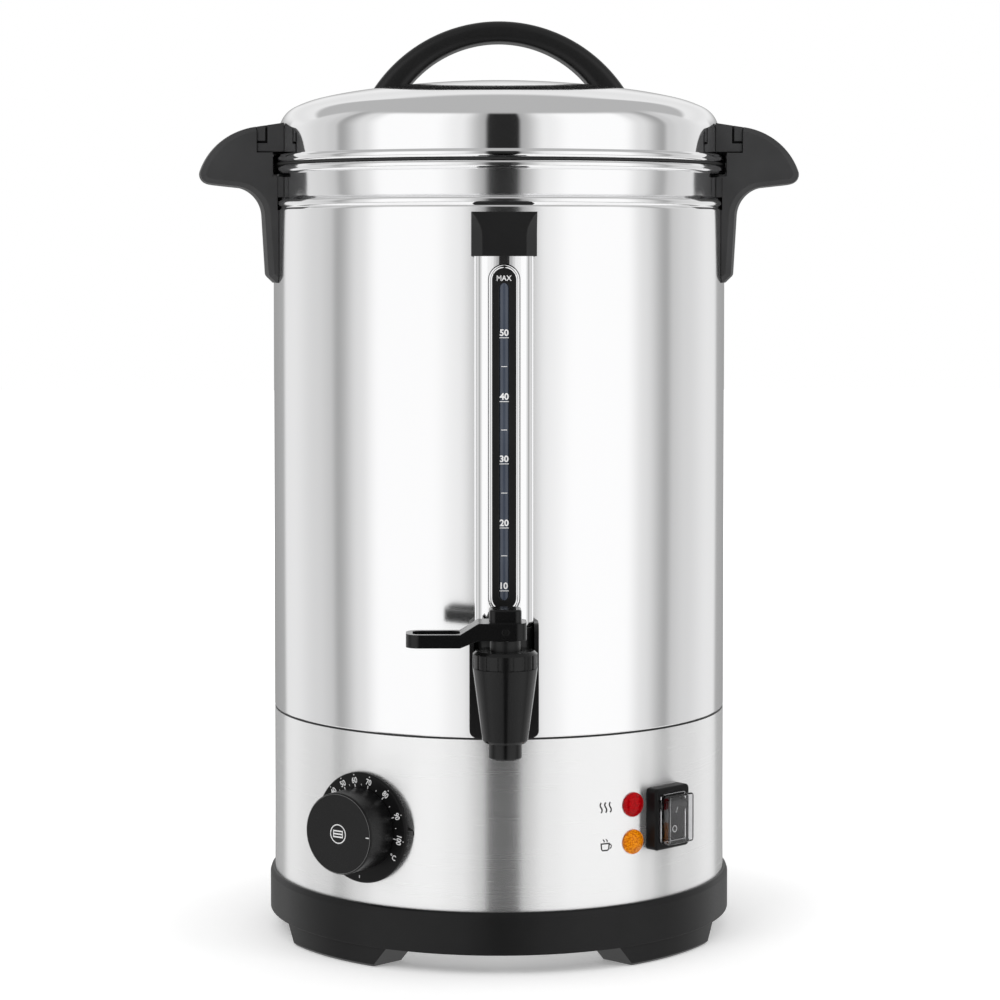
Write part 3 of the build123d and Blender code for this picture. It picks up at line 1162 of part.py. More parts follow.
def reset_button():
    """Push button in the bottom plate that resets the boil-dry cut-out."""
    solid = disc(RESET_R, FLANGE_TOP - 1.5, PLATE_TOP + 4 + RESET_TRAVEL, *RESET_AT)
    solid = fillet(solid.edges().group_by(Axis.Z)[0], 0.8)
    return solid + disc(RESET_R + 2, PLATE_TOP + SWING, PLATE_TOP + SWING + 1.5, *RESET_AT)


def reset_housing():
    """Guide cup over the reset button, on the bottom plate."""
    low = PLATE_TOP + SEAT
    top = low + 12 + RESET_TRAVEL
    solid = ring(RESET_R + 5, RESET_R + 3, low, top, *RESET_AT)
    solid += disc(RESET_R + 5, top, top + 2, *RESET_AT)
    return solid + ring(RESET_R + 9, RESET_R + 3, low, low + 1.5, *RESET_AT)


def sensor_bulb():
    """Thermostat bulb held between the heating plate and the clamp bar."""
    x, y = BULB_AT
    z = HEATER_LOW - SEAT - BULB_R
    return Pos(x, y, z) * Rot(90, 0, 0) * Cylinder(BULB_R, BULB_L)


# ---------------------------------------------------------------- wiring
def cord_gland():
    """Threaded gland in the back of the skirt, with its bore free."""
    frame = facing(180, GLAND_Z)
    thread = GLAND_THREAD + BODY_R - TANK_IN + GLAND_LAP
    body = Pos(0, 0, TANK_IN - GLAND_THREAD) * Cylinder(GLAND_R, thread, align=UP)
    hexa = Pos(0, 0, BODY_R + SEAT) * extrude(RegularPolygon(GLAND_R + 3, 6, major_radius=False), 5)
    dome_part = Pos(0, 0, BODY_R + 5) * Cylinder(GLAND_R + 1.5, GLAND_OUT - 5, align=UP)
    dome_part = fillet(dome_part.edges().group_by(Axis.Z)[-1], 3.0)
    low = TANK_IN - GLAND_THREAD - CUT
    bore = Pos(0, 0, low) * Cylinder(GLAND_BORE, BACK_REACH - low + CUT, align=UP)
    return frame * (body + hexa + dome_part - bore)


def gland_nut():
    """Nut on the gland inside the skirt."""
    nut = hex_nut(22.0, GLAND_R + SEAT, 4.0)
    return facing(180, GLAND_Z) * Pos(0, 0, TANK_IN - SEAT - 0.6 - 4.0) * nut


def terminal_block():
    """Mains terminal block on the bottom plate."""
    x, y = BLOCK_AT
    low = PLATE_TOP + SEAT
    solid = slab(BLOCK[0], BLOCK[1], low, low + BLOCK[2], x, y)
    for place in (-10, 0, 10):
        solid -= disc(2.4, low + BLOCK[2] - 4, low + BLOCK[2] + 1, x + place, y)
    return solid


def lead(points, bend):
    """Insulated lead along a route."""
    return wire_tube(points, LEAD_R, bend)


def leads():
    """Internal leads: name and route of each."""
    block_top = PLATE_TOP + 2 * SEAT + BLOCK[2]
    bx, by = BLOCK_AT
    inward = facing(SWITCH_AT, SWITCH_Z)
    live_in = inward * Pos(0, SWITCH_BLADES[0], SW_BODY_BACK - SEAT - BLADE[1] - SEAT)
    live_out = inward * Pos(0, SWITCH_BLADES[1], SW_BODY_BACK - SEAT - BLADE[1] - SEAT)
    toward = inward * Pos(0, SWITCH_BLADES[0], SW_BODY_BACK - SWITCH_RUNS[0])
    toward_2 = inward * Pos(0, SWITCH_BLADES[1], SW_BODY_BACK - SWITCH_RUNS[1])
    stat = facing(KNOB_AT, KNOB_Z)
    stat_in = stat * Pos(6, 4, STAT_BACK - SEAT)
    stat_near = stat * Pos(6, 4, STAT_BACK - STAT_RUNS[0])
    stat_out = stat * Pos(-6, 4, STAT_BACK - SEAT)
    stat_near_2 = stat * Pos(-6, 4, STAT_BACK - STAT_RUNS[1])
    leg_z = HEATER_LOW - SEAT - ELEMENT_TUBE - LEG_DROP - SEAT
    leg_x = ELEMENT_R * sin(radians(ELEMENT_OPEN / 2))
    leg_y = ELEMENT_R * cos(radians(ELEMENT_OPEN / 2))
    return {
        "live_lead": [(bx - 10, by, block_top), (bx - 10, by, LIVE_UP), *LIVE_TURNS,
                      tuple(toward.position), tuple(live_in.position)],
        "switched_lead": [tuple(live_out.position), tuple(toward_2.position), SWITCHED_TURN,
                          tuple(stat_near.position), tuple(stat_in.position)],
        "heater_lead": [tuple(stat_out.position), tuple(stat_near_2.position), HEATER_TURN,
                        (-leg_x, leg_y, HEATER_LEG_Z), (-leg_x, leg_y, leg_z)],
        "neutral_lead": [(bx + 10, by, block_top), (bx + 10, by, NEUTRAL_UP), NEUTRAL_TURN, (leg_x, leg_y, NEUTRAL_LEG_Z),
                         (leg_x, leg_y, leg_z)],
    }


def capillary_tube():
    """Thin tube from the thermostat to its bulb."""
    stat = facing(KNOB_AT, KNOB_Z)
    start = stat * Pos(0, -8, STAT_BACK - SEAT)
    near = stat * Pos(0, -8, STAT_BACK - CAPILLARY_RUN)
    low, below = CAPILLARY_DROPS
    far, out, straight = CAPILLARY_OUT
    x, y = BULB_AT
    z = HEATER_LOW - SEAT - BULB_R
    end_y = y - BULB_L / 2 - SEAT
    return wire_tube([tuple(start.position), tuple(near.position),
                      (x - CAPILLARY_ASIDE, end_y - far, z - low), (x, end_y - out, z - below),
                      (x, end_y - straight, z), (x, end_y, z)], CAPILLARY_R, CAPILLARY_BEND)


# ---------------------------------------------------------------- write
def main():
    os.makedirs("parts", exist_ok=True)
    save("base_ring", base_ring())
    save("bottom_plate", bottom_plate())
    save("base_screws", *base_screws())
    save("lower_shell", lower_shell())
    save("tank", tank())
    save("lid_shell", lid_shell())
    save("lid_seal", lid_seal())
    save("lid_handle", lid_handle())
    save("lid_handle_screws", *lid_handle_screws())
    save("lug_rivets", *lug_rivets())
    for name, side in (("left", -1), ("right", 1)):
        save(f"lid_lug_{name}", lid_lug(side))
        save(f"handle_{name}", handle(side))
    save("tank_screws", *tank_screws())
    save("tap_body", tap_body())
    save("tap_collar", tap_collar())
    save("stem_guide", stem_guide())
    save("valve_stem", valve_stem())
    save("seat_cup", seat_cup())
    save("valve_spring", valve_spring())
    save("tap_lever", tap_lever())
    save("lever_pin", lever_pin())
    save("tap_mount", tap_mount())
    save("mount_gasket", mount_gasket())
    save("shank_nut", shank_nut())
    save("gauge_guard", gauge_guard())
    save("scale_strip", scale_strip())
    save("sight_tube", sight_tube())
    save("tube_seals", *tube_seals())
    save("gauge_cap", gauge_cap())
    save("thermostat_body", thermostat_body())
    save("thermostat_shaft", thermostat_shaft())
    save("shaft_nut", shaft_nut())
    save("dial_plate", dial_plate())
    save("knob", knob())
    for colour, height in zip(("red", "amber"), LAMP_Z):
        save(f"{colour}_lens", lens(height))
    save("lamp_bodies", *[lamp_body(height) for height in LAMP_Z])
    save("switch_housing", switch_housing())
    save("rocker", rocker())
    save("switch_cover", switch_cover())
    save("switch_blades", *switch_blades())
    save("heating_plate", heating_plate())
    save("heating_element", heating_element())
    save("warming_element", warming_element())
    save("element_clamp", element_clamp())
    save("clamp_stud", *clamp_stud())
    save("thermal_cutout", thermal_cutout())
    save("reset_button", reset_button())
    save("reset_housing", reset_housing())
    save("sensor_bulb", sensor_bulb())
    save("capillary_tube", capillary_tube())
    save("cord_gland", cord_gland())
    save("gland_nut", gland_nut())
    save("terminal_block", terminal_block())
    for name, points in leads().items():
        save(name, lead(points, LEAD_BEND[name]))


main()
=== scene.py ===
"""Looks of the hot water urn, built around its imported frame.

Outlines are written in millimetres about the urn's own axis, as its drawings are, and every mesh is
scaled to metres and moved to that axis when it is made. +Z is up and the tap stands towards -Y.
"""
import bmesh
import bpy
import json
from math import asin, atan2, cos, degrees, pi, radians, sin, sqrt
from mathutils import Matrix, Vector


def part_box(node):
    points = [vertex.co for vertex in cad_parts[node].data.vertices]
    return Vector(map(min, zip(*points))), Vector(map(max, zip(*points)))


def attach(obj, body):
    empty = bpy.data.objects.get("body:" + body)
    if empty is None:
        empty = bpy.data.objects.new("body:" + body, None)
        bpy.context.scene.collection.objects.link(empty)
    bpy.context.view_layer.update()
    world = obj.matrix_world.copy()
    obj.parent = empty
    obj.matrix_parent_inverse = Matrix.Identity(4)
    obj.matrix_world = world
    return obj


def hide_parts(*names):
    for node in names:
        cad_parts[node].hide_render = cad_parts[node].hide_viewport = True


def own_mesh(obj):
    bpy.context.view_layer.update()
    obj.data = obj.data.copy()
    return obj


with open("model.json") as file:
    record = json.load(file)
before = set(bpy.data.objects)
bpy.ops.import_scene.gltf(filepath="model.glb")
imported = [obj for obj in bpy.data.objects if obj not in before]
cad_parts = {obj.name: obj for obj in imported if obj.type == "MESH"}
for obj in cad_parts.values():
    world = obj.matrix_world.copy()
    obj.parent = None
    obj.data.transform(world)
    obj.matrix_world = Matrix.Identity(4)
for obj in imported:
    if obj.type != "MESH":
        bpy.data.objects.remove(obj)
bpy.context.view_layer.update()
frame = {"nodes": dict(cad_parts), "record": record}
NODES = frame["nodes"]
SLOT_OF = {s["node"]: s["material_slot"] for s in frame["record"]["subparts"]}

# ---------------------------------------------------------------- sizes, millimetres
MM = 0.001
SKIRT_LOW, SKIRT_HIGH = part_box("lower_shell")
AXIS = Vector(((SKIRT_LOW.x + SKIRT_HIGH.x) / 2, (SKIRT_LOW.y + SKIRT_HIGH.y) / 2, 0))
ROW = Matrix.Translation(AXIS) @ Matrix.Scale(MM, 4)
BODY_R = round((SKIRT_HIGH.x - SKIRT_LOW.x) / 2 / MM, 1)
SHEET = 1.0
SEAM_Z = 117.6            # the skirt's upper edge
SEAM_HALF = 0.5           # half height of the joint between tank and skirt, which a black ring of painted shade fills
EDGE_ROUND = 0.8          # lower edge of the tank's wall
TANK_FLOOR = 132.0
FLOOR_ROUND = 2.5
BEAD_Z = 381.7
BEAD_H = 5.0
BEAD_OUT = 0.4            # the bead stands out this far from the wall
BEAD_ROUND = 2.75
NECK_R = 117.3
ROLL_R = 2.4              # rolled edges of tank and lid
ROLL_AT = 118.9
ROLL_END = 190.0          # the rim's roll ends at this angle inside, degrees
RIM_TOP = 404.45
LID_BOTTOM = 405.1
LID_WALL_R = 117.0
LID_TOP = 449.5
LID_ARCS = ((500.0, 78.0), (243.0, 96.0), (62.0, 109.0))      # radius of each arc, and where it ends
LID_SKIRT_R = 112.4
LID_SKIRT_H = 7.0
GCAP_HALF = 16.05         # the black cap over the gauge's guard
GCAP_Z = 356.7
GCAP_TOP = 378.3
GCAP_FRONT = 137.5
GCAP_BEVEL = 5.2          # width and depth of the cap's side bevels
GCAP_BEVEL_D = 6.5
GUARD_HALF = 14.5
GUARD_FRONT = 133.0
GUARD_Z = 162.1
GUARD_TOP = 372.0
GUARD_T = 0.8             # thickness of its steel
GUARD_BOW = 35.0          # radius of its gently rounded front
GUARD_TURN = 8.0          # the front's bow ends this far to each side
SLOT_HALF = 7.9
SLOT_Z = 181.5
SLOT_TOP = 353.0
LIP_AT = 6.65             # middle of the rolled lip inside the slot
LIP_HALF = 1.2
LIP_BACK = 130.72
LIP_RISE = 1.6
ARCH_TOP = 481.1
ARCH_R = 79.9
ARCH_INNER_R = 61.0       # radius of its underside, whose centre lies higher
ARCH_DEPTH = 11.2         # at the crown
ARCH_HALF_W = 12.0
ARCH_ROUND = 4.6
WINDOW_W = 5.0            # window of the scale strip
WINDOW_Z = 188.2
WINDOW_TOP = 343.7
KNOB_AT = -35.5
KNOB_Z = 69.9
DIAL_FACE = 122.8
KNOB_FACE = 141.5
LAMP_Z = (81.3, 62.5)     # heating lamp above, keep-warm lamp below
SWITCH_AT = 43.1
SWITCH_Z = 73.0
ROCKER_TOP = 128.9        # crest of the rocker's face before it is tilted
ROCKER_HALF = 9.4
ROCKER_SAG = 1.6
ROCKER_PIVOT = 121.5
ROCKER_TILT = 8.0
STRIP_FACE = (AXIS.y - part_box("scale_strip")[0].y) / MM
INK = 0.06                # thickness of print
INK_SINK = 0.02

# ---------------------------------------------------------------- camera
FOCAL_PX = 2818.0         # focal length in pixels of the photograph
PICTURE_PX = 1000.0
AXIS_PX = 499.0           # column of the urn's axis
SENSOR = 36.0
DISTANCE = 1506.6         # from the urn's axis, millimetres
EYE_Z = 356.8
PITCH = 2.115             # degrees downwards
CAMERA_TURN = -1.1        # degrees round the urn
SHIFT_Y = -0.14
CLIP_END = 20.0           # metres


def make_camera():
    """Camera at the photograph's place: part of its level view's offset is shift, the rest pitch."""
    data = bpy.data.cameras.new("camera")
    data.sensor_width = SENSOR
    data.lens = FOCAL_PX / PICTURE_PX * SENSOR
    data.shift_x = (PICTURE_PX / 2 - AXIS_PX) / PICTURE_PX
    data.shift_y = SHIFT_Y
    data.clip_end = CLIP_END
    camera = bpy.data.objects.new("camera", data)
    turn = radians(CAMERA_TURN)
    camera.location = AXIS + Vector((sin(turn) * DISTANCE, -cos(turn) * DISTANCE, EYE_Z)) * MM
    camera.rotation_euler = (pi / 2 - radians(PITCH), 0, turn)
    bpy.context.scene.collection.objects.link(camera)
    bpy.context.scene.camera = camera
    bpy.context.scene.view_settings.view_transform = "Standard"


# ---------------------------------------------------------------- node helpers
MIDDLE = (0.3, 0.7)       # most of a texture's values lie between these


def new_material(name):
    """Empty material with its shader and output; returns material, node maker, linker and shader."""
    material = bpy.data.materials.new(name)
    material.use_nodes = True
    tree = material.node_tree
    tree.nodes.clear()
    output = tree.nodes.new("ShaderNodeOutputMaterial")
    shader = tree.nodes.new("ShaderNodeBsdfPrincipled")
    tree.links.new(shader.outputs[0], output.inputs[0])
    return material, tree.nodes.new, tree.links.new, shader


def settings(shader, **values):
    """Sets the shader's own sockets by name, with underscores for spaces."""
    for name, value in values.items():
        shader.inputs[name.replace("_", " ")].default_value = value


def noise(add, link, scale, stretch=(1, 1, 1), detail=3.0):
    """Noise texture on the object's own coordinates, in metres times the stretch."""
    place = add("ShaderNodeTexCoord")
    mapping = add("ShaderNodeMapping")
    mapping.inputs["Scale"].default_value = stretch
    texture = add("ShaderNodeTexNoise")
    texture.inputs["Scale"].default_value = scale
    texture.inputs["Detail"].default_value = detail
    link(place.outputs["Object"], mapping.inputs["Vector"])
    link(mapping.outputs[0], texture.inputs["Vector"])
    return texture.outputs["Fac"]


def spread(add, link, value, low, high):
    """Maps a texture's middle range to values from low to high."""
    node = add("ShaderNodeMapRange")
    node.inputs["From Min"].default_value = MIDDLE[0]
    node.inputs["From Max"].default_value = MIDDLE[1]
    node.inputs["To Min"].default_value = low
    node.inputs["To Max"].default_value = high
    link(value, node.inputs["Value"])
    return node.outputs[0]


def grey(value):
    """Colour of one even grey."""
    return (value, value, value)


def two_tone(add, link, value, dark, light):
    """Colour that varies between two tones with a texture."""
    ramp = add("ShaderNodeValToRGB")
    for stop, position, colour in zip(ramp.color_ramp.elements, MIDDLE, (dark, light)):
        stop.position = position
        stop.color = (*colour, 1)
    link(value, ramp.inputs["Fac"])
    return ramp.outputs[0]


def bump(add, link, shader, height, distance, strength=1.0):
    """Fine relief from a texture; distance is in metres."""
    node = add("ShaderNodeBump")
    node.inputs["Distance"].default_value = distance
    node.inputs["Strength"].default_value = strength
    link(height, node.inputs["Height"])
    link(node.outputs[0], shader.inputs["Normal"])
    return node


# ---------------------------------------------------------------- materials
def smooth_steel(name, wide, fine, low, high):
    """Bright stainless steel: a wide noise varies its tone and a fine one its roughness."""
    material, add, link, shader = new_material(name)
    settings(shader, Metallic=1.0)
    tone = two_tone(add, link, noise(add, link, *wide), (0.965, 0.965, 0.97), (0.99, 0.99, 0.995))
    link(tone, shader.inputs["Base Color"])
    link(spread(add, link, noise(add, link, *fine), low, high), shader.inputs["Roughness"])
    return material


def polished_steel():
    """Lid, guard and lip: mirror-bright steel with faint drawing marks."""
    return smooth_steel("polished_steel", (6.0, (1, 1, 0.4)), (60.0, (1, 1, 0.15)), 0.045, 0.075)


def satin_steel():
    """Tank wall: polished steel with a soft satin."""
    return smooth_steel("satin_steel", (5.0, (1, 1, 0.3)), (220.0, (1, 1, 0.25), 4.0), 0.118, 0.132)


def brushed_steel():
    """Skirt: steel brushed around the axis, so it mirrors sharply across and softly up and down."""
    material, add, link, shader = new_material("brushed_steel")
    settings(shader, Metallic=0.87, Anisotropic=1.0, Anisotropic_Rotation=0.25)
    lines = noise(add, link, 14.0, (1, 1, 260), 5.0)
    link(two_tone(add, link, lines, grey(0.95), grey(0.98)), shader.inputs["Base Color"])
    link(spread(add, link, lines, 0.215, 0.275), shader.inputs["Roughness"])
    tangent = add("ShaderNodeTangent")
    tangent.direction_type = "RADIAL"
    tangent.axis = "Z"
    link(tangent.outputs[0], shader.inputs["Tangent"])
    bump(add, link, shader, lines, 0.00001, 0.22)
    return material


def plain_metal(name, dark, light, roughness, grain=90.0):
    """Machined or plated metal with a fine uneven finish."""
    material, add, link, shader = new_material(name)
    settings(shader, Metallic=1.0)
    wide = noise(add, link, grain)
    link(two_tone(add, link, wide, dark, light), shader.inputs["Base Color"])
    fine = noise(add, link, 12 * grain)
    link(spread(add, link, fine, roughness - 0.06, roughness + 0.06), shader.inputs["Roughness"])
    bump(add, link, shader, fine, 0.00002, 0.4)
    return material


def moulded(name, dark, light, roughness, grain=0.00002, edge=0.0004, gloss=0.5):
    """Moulded plastic or rubber with a fine grain and slightly rounded edges."""
    material, add, link, shader = new_material(name)
    settings(shader, Specular_IOR_Level=gloss)
    wide = noise(add, link, 40.0)
    link(two_tone(add, link, wide, dark, light), shader.inputs["Base Color"])
    fine = noise(add, link, 1800.0, detail=2.0)
    link(spread(add, link, fine, roughness - 0.04, roughness + 0.05), shader.inputs["Roughness"])
    relief = bump(add, link, shader, fine, grain, 0.5)
    rounding = add("ShaderNodeBevel")
    rounding.samples = 6
    rounding.inputs["Radius"].default_value = edge
    link(rounding.outputs[0], relief.inputs["Normal"])
    return material


def black_plastic(name="black_plastic", tone=0.009, roughness=0.32, gloss=0.34, edge=0.0006):
    """Black moulded plastic."""
    dark = (tone * 0.85, tone * 0.85, tone * 0.87)
    light = (tone * 1.15, tone * 1.15, tone * 1.18)
    return moulded(name, dark, light, roughness, edge=edge, gloss=gloss)


def clear_plastic(name, tint, ior=1.46, roughness=0.03):
    """Clear plastic or glass with faint waves."""
    material, add, link, shader = new_material(name)
    settings(shader, Transmission_Weight=1.0, IOR=ior)
    wide = noise(add, link, 30.0)
    link(two_tone(add, link, wide, [t * 0.97 for t in tint], tint), shader.inputs["Base Color"])
    link(spread(add, link, wide, roughness * 0.7, roughness * 1.3), shader.inputs["Roughness"])
    bump(add, link, shader, wide, 0.00002, 0.3)
    return material


def lamp_lens(name, deep, bright):
    """Coloured signal lens: glossy outside, with the small prisms of its inside showing through, and a
    faint painted glow of its own colour.
    """
    material, add, link, shader = new_material(name)
    # the faint emission is a painted glow of the lens's colour
    settings(shader, Roughness=0.10, Specular_IOR_Level=0.16, IOR=1.45, Emission_Strength=0.05)
    place = add("ShaderNodeTexCoord")
    cells = add("ShaderNodeTexVoronoi")
    cells.inputs["Scale"].default_value = 1100.0
    link(place.outputs["Object"], cells.inputs["Vector"])
    colour = two_tone(add, link, cells.outputs["Distance"], bright, deep)
    link(colour, shader.inputs["Base Color"])
    link(colour, shader.inputs["Emission Color"])
    bump(add, link, shader, cells.outputs["Distance"], 0.0001, 0.35)
    return material


# ---------------------------------------------------------------- studio
# Light of the studio in degrees: by the angle from the front; up from behind over the top to the
# front; and below the horizon.
STUDIO_AROUND = [(0, 0.02), (7.5, 0.02), (9.5, 0.42), (22, 0.86), (36, 1.0), (64, 1.0), (76, 0.74),
                 (91, 0.36), (96, 0.58), (106, 0.66), (130, 0.80), (140, 0.80), (145, 0.38), (180, 0.32)]
STUDIO_ABOVE = [(0, 1.0), (26, 0.78), (38, 0.82), (45, 0.46), (110, 0.46), (180, 0.44)]
STUDIO_BELOW = [(0, 0.95), (24, 0.95), (26, 0.15), (29, 0.15), (31, 0.95), (90, 0.95)]
GAP_TURN = 1.0            # the dark gap stands a little to the right of the front
GAP_EDGE = (7.0, 10.0)    # the gap between the soft boxes goes on below the horizon
BEHIND = (100.0, 130.0)   # the studio's back begins between these angles from the front
CEILING_FROM = 34.0
CEILING_TO = 46.0
CEILING_DROP = 30.0       # the ceiling comes down this much behind the urn
FLOOR_FROM = 19.0
FLOOR_TO = 23.0
WORLD_FILL = 0.75         # even light on what isn't a mirror


def fill_ramp(ramp, stops):
    """Grey stops of a colour ramp, as (position, linear value)."""
    ramp.interpolation = "EASE"
    for index, (position, value) in enumerate(stops):
        if index < 2:
            stop = ramp.elements[index]
            stop.position = position
        else:
            stop = ramp.elements.new(position)
        stop.color = (*grey(value), 1)


def make_world():
    """Studio: white to the camera; steel sees two soft boxes, a dark gap between them and grey flags."""
    world = bpy.data.worlds.new("studio")
    bpy.context.scene.world = world
    world.use_nodes = True
    tree = world.node_tree
    tree.nodes.clear()
    add, link = tree.nodes.new, tree.links.new
    place = add("ShaderNodeTexCoord")
    split = add("ShaderNodeSeparateXYZ")
    link(place.outputs["Generated"], split.inputs[0])

    def feed(socket, value):
        """Links a node's output to a socket, or sets a plain value."""
        if isinstance(value, bpy.types.NodeSocket):
            link(value, socket)
        else:
            socket.default_value = value

    def math(operation, *values):
        node = add("ShaderNodeMath")
        node.operation = operation
        for socket, value in zip(node.inputs, values):
            feed(socket, value)
        return node.outputs[0]

    def shade(share, stops, span):
        """Grey at a share of a span of angles, from stops in degrees."""
        node = add("ShaderNodeValToRGB")
        fill_ramp(node.color_ramp, [(angle / span, value) for angle, value in stops])
        link(share, node.inputs["Fac"])
        return node.outputs[0]

    def smooth(value, low, high):
        """Rises gently from 0 to 1 between two limits."""
        node = add("ShaderNodeMapRange")
        node.interpolation_type = "SMOOTHSTEP"
        feed(node.inputs["From Min"], low)
        feed(node.inputs["From Max"], high)
        link(value, node.inputs["Value"])
        return node.outputs[0]

    def mixed(factor, first, second):
        """Colour between two colours."""
        node = add("ShaderNodeMix")
        node.data_type = "RGBA"
        link(factor, node.inputs["Factor"])
        feed(node.inputs[6], first)
        feed(node.inputs[7], second)
        return node.outputs[2]

    front = math("MULTIPLY", split.outputs["Y"], -1.0)
    angle = math("ARCTAN2", split.outputs["X"], front)
    turned = math("SUBTRACT", angle, radians(GAP_TURN))
    aside = math("DIVIDE", math("ABSOLUTE", turned), pi)
    height = math("DIVIDE", math("ARCSINE", split.outputs["Z"]), pi / 2)
    rise = math("DIVIDE", math("ARCTAN2", split.outputs["Z"], split.outputs["Y"]), pi)
    around = shade(aside, STUDIO_AROUND, 180)
    above = shade(rise, STUDIO_ABOVE, 180)
    below = shade(math("MULTIPLY", height, -1.0), STUDIO_BELOW, 90)

    behind = smooth(aside, BEHIND[0] / 180, BEHIND[1] / 180)
    drop = math("MULTIPLY", behind, CEILING_DROP / 90)
    start = math("SUBTRACT", CEILING_FROM / 90, drop)
    end = math("SUBTRACT", CEILING_TO / 90, drop)
    studio = mixed(smooth(height, start, end), around, above)
    beside = smooth(aside, GAP_EDGE[0] / 180, GAP_EDGE[1] / 180)
    low = math("MULTIPLY", below, beside)
    ground = mixed(smooth(height, -FLOOR_FROM / 90, -FLOOR_TO / 90), studio, low)
    path = add("ShaderNodeLightPath")
    mirrored = math("MAXIMUM", path.outputs["Is Glossy Ray"], path.outputs["Is Transmission Ray"])
    seen = mixed(mirrored, (*grey(WORLD_FILL), 1), ground)
    background = add("ShaderNodeBackground")
    output = add("ShaderNodeOutputWorld")
    link(mixed(path.outputs["Is Camera Ray"], seen, (1, 1, 1, 1)), background.inputs["Color"])
    link(background.outputs[0], output.inputs[0])


# ---------------------------------------------------------------- lights and floor
FLOOR_HALF = 6.0          # metres, as are the next two
FLOOR_GAP = 0.0002
FLOOR_FADE = (0.15, 0.42)     # between these distances from the middle the shadow fades to white
FLOOR_LIFT = 0.24         # share of the floor's glow that is left nearer to the middle
LIGHT_AIM = (0, 0, 0.2)
LIGHT_SIZE = (0.8, 0.8)


def area_light(name, place, target, size, power):
    """Soft rectangular lamp aimed at a point, metres and watts."""
    data = bpy.data.lights.new(name, "AREA")
    data.shape = "RECTANGLE"
    data.size, data.size_y = size
    data.energy = power
    lamp = bpy.data.objects.new(name, data)
    lamp.location = place
    lamp.rotation_euler = (Vector(target) - Vector(place)).to_track_quat("-Z", "Y").to_euler()
    bpy.context.scene.collection.objects.link(lamp)
    lamp.visible_glossy = False
    lamp.visible_camera = False


def make_floor():
    """Pale floor that is white to the camera and keeps the urn's shadow."""
    bm = bmesh.new()
    bmesh.ops.create_grid(bm, x_segments=1, y_segments=1, size=FLOOR_HALF)
    mesh = bpy.data.meshes.new("floor")
    bm.to_mesh(mesh)
    bm.free()
    floor = bpy.data.objects.new("floor", mesh)
    floor.location = (0, 0, -FLOOR_GAP)
    bpy.context.scene.collection.objects.link(floor)
    material, add, link, shader = new_material("floor")
    tone = noise(add, link, 3.0)
    link(two_tone(add, link, tone, grey(0.90), grey(0.92)), shader.inputs["Base Color"])
    settings(shader, Roughness=0.9, Specular_IOR_Level=0.0, Emission_Color=(1, 1, 1, 1))
    path = add("ShaderNodeLightPath")
    place = add("ShaderNodeTexCoord")
    reach = add("ShaderNodeVectorMath")
    reach.operation = "LENGTH"
    link(place.outputs["Object"], reach.inputs[0])
    fade = add("ShaderNodeMapRange")
    fade.interpolation_type = "SMOOTHSTEP"
    fade.inputs["From Min"].default_value = FLOOR_FADE[0]
    fade.inputs["From Max"].default_value = FLOOR_FADE[1]
    fade.inputs["To Min"].default_value = FLOOR_LIFT
    link(reach.outputs["Value"], fade.inputs["Value"])
    lift = add("ShaderNodeMath")
    lift.operation = "MULTIPLY"
    link(path.outputs["Is Camera Ray"], lift.inputs[0])
    link(fade.outputs[0], lift.inputs[1])
    link(lift.outputs[0], shader.inputs["Emission Strength"])
    mesh.materials.append(material)
    floor.visible_glossy = False


make_camera()
make_world()
make_floor()
area_light("key", (-0.9, -1.2, 1.5), LIGHT_AIM, LIGHT_SIZE, 9.0)
area_light("fill", (1.2, -0.9, 1.1), LIGHT_AIM, LIGHT_SIZE, 5.0)


# ---------------------------------------------------------------- mesh helpers
def facing(angle, height, out=0.0):
    """Frame on the urn's side: x to the right, y up, z out from the urn's axis, degrees and mm."""
    turn = Matrix.Rotation(radians(angle), 4, "Z")
    return turn @ Matrix.Translation((0, 0, height)) @ Matrix.Rotation(pi / 2, 4, "X") @ lifted(out)


def lifted(out):
    """Shift along a facing frame's own axis."""
    return Matrix.Translation((0, 0, out))


def arc(centre, radius, start, end, steps):
    """Points of an arc in a section; angles in degrees from the outward direction, upwards."""
    angles = [radians(start + (end - start) * k / steps) for k in range(steps + 1)]
    return [(centre[0] + radius * cos(a), centre[1] + radius * sin(a)) for a in angles]


def lathe(outline, steps=288):
    """Turned mesh about the urn's axis from a closed outline of (radius, height)."""
    bm = bmesh.new()
    rings = []
    for radius, height in outline:
        turns = 1 if radius < MM else steps
        angles = [2 * pi * k / turns for k in range(turns)]
        rings.append([bm.verts.new((radius * sin(a), -radius * cos(a), height)) for a in angles])
    for low, high in zip(rings, rings[1:] + rings[:1]):
        if len(low) == len(high) == 1:
            continue
        for k in range(steps):
            corners = []
            for ring, index in ((low, k), (low, k + 1), (high, k + 1), (high, k)):
                vert = ring[index % len(ring)]
                if vert not in corners:
                    corners.append(vert)
            bm.faces.new(corners)
    return bm


def prism(outline, low, high):
    """Straight prism along z from an outline of (x, y)."""
    bm = bmesh.new()
    base = [bm.verts.new((x, y, low)) for x, y in outline]
    top = [bm.verts.new((x, y, high)) for x, y in outline]
    bm.faces.new(reversed(base))
    bm.faces.new(top)
    for k, corner in enumerate(base):
        n = (k + 1) % len(base)
        bm.faces.new((corner, base[n], top[n], top[k]))
    return bm


def stroke(points, width):
    """Outline of a line of even width along points (x, y)."""
    sides = ([], [])
    for k, point in enumerate(points):
        before = Vector(points[max(k - 1, 0)])
        after = Vector(points[min(k + 1, len(points) - 1)])
        along = (after - before).normalized()
        across = Vector((-along.y, along.x)) * width / 2
        sides[0].append(tuple(Vector(point) + across))
        sides[1].append(tuple(Vector(point) - across))
    return sides[1] + sides[0][::-1]


def dash(length, width):
    """Outline of a short upright line, centred on the origin."""
    return stroke([(0, -length / 2), (0, length / 2)], width)


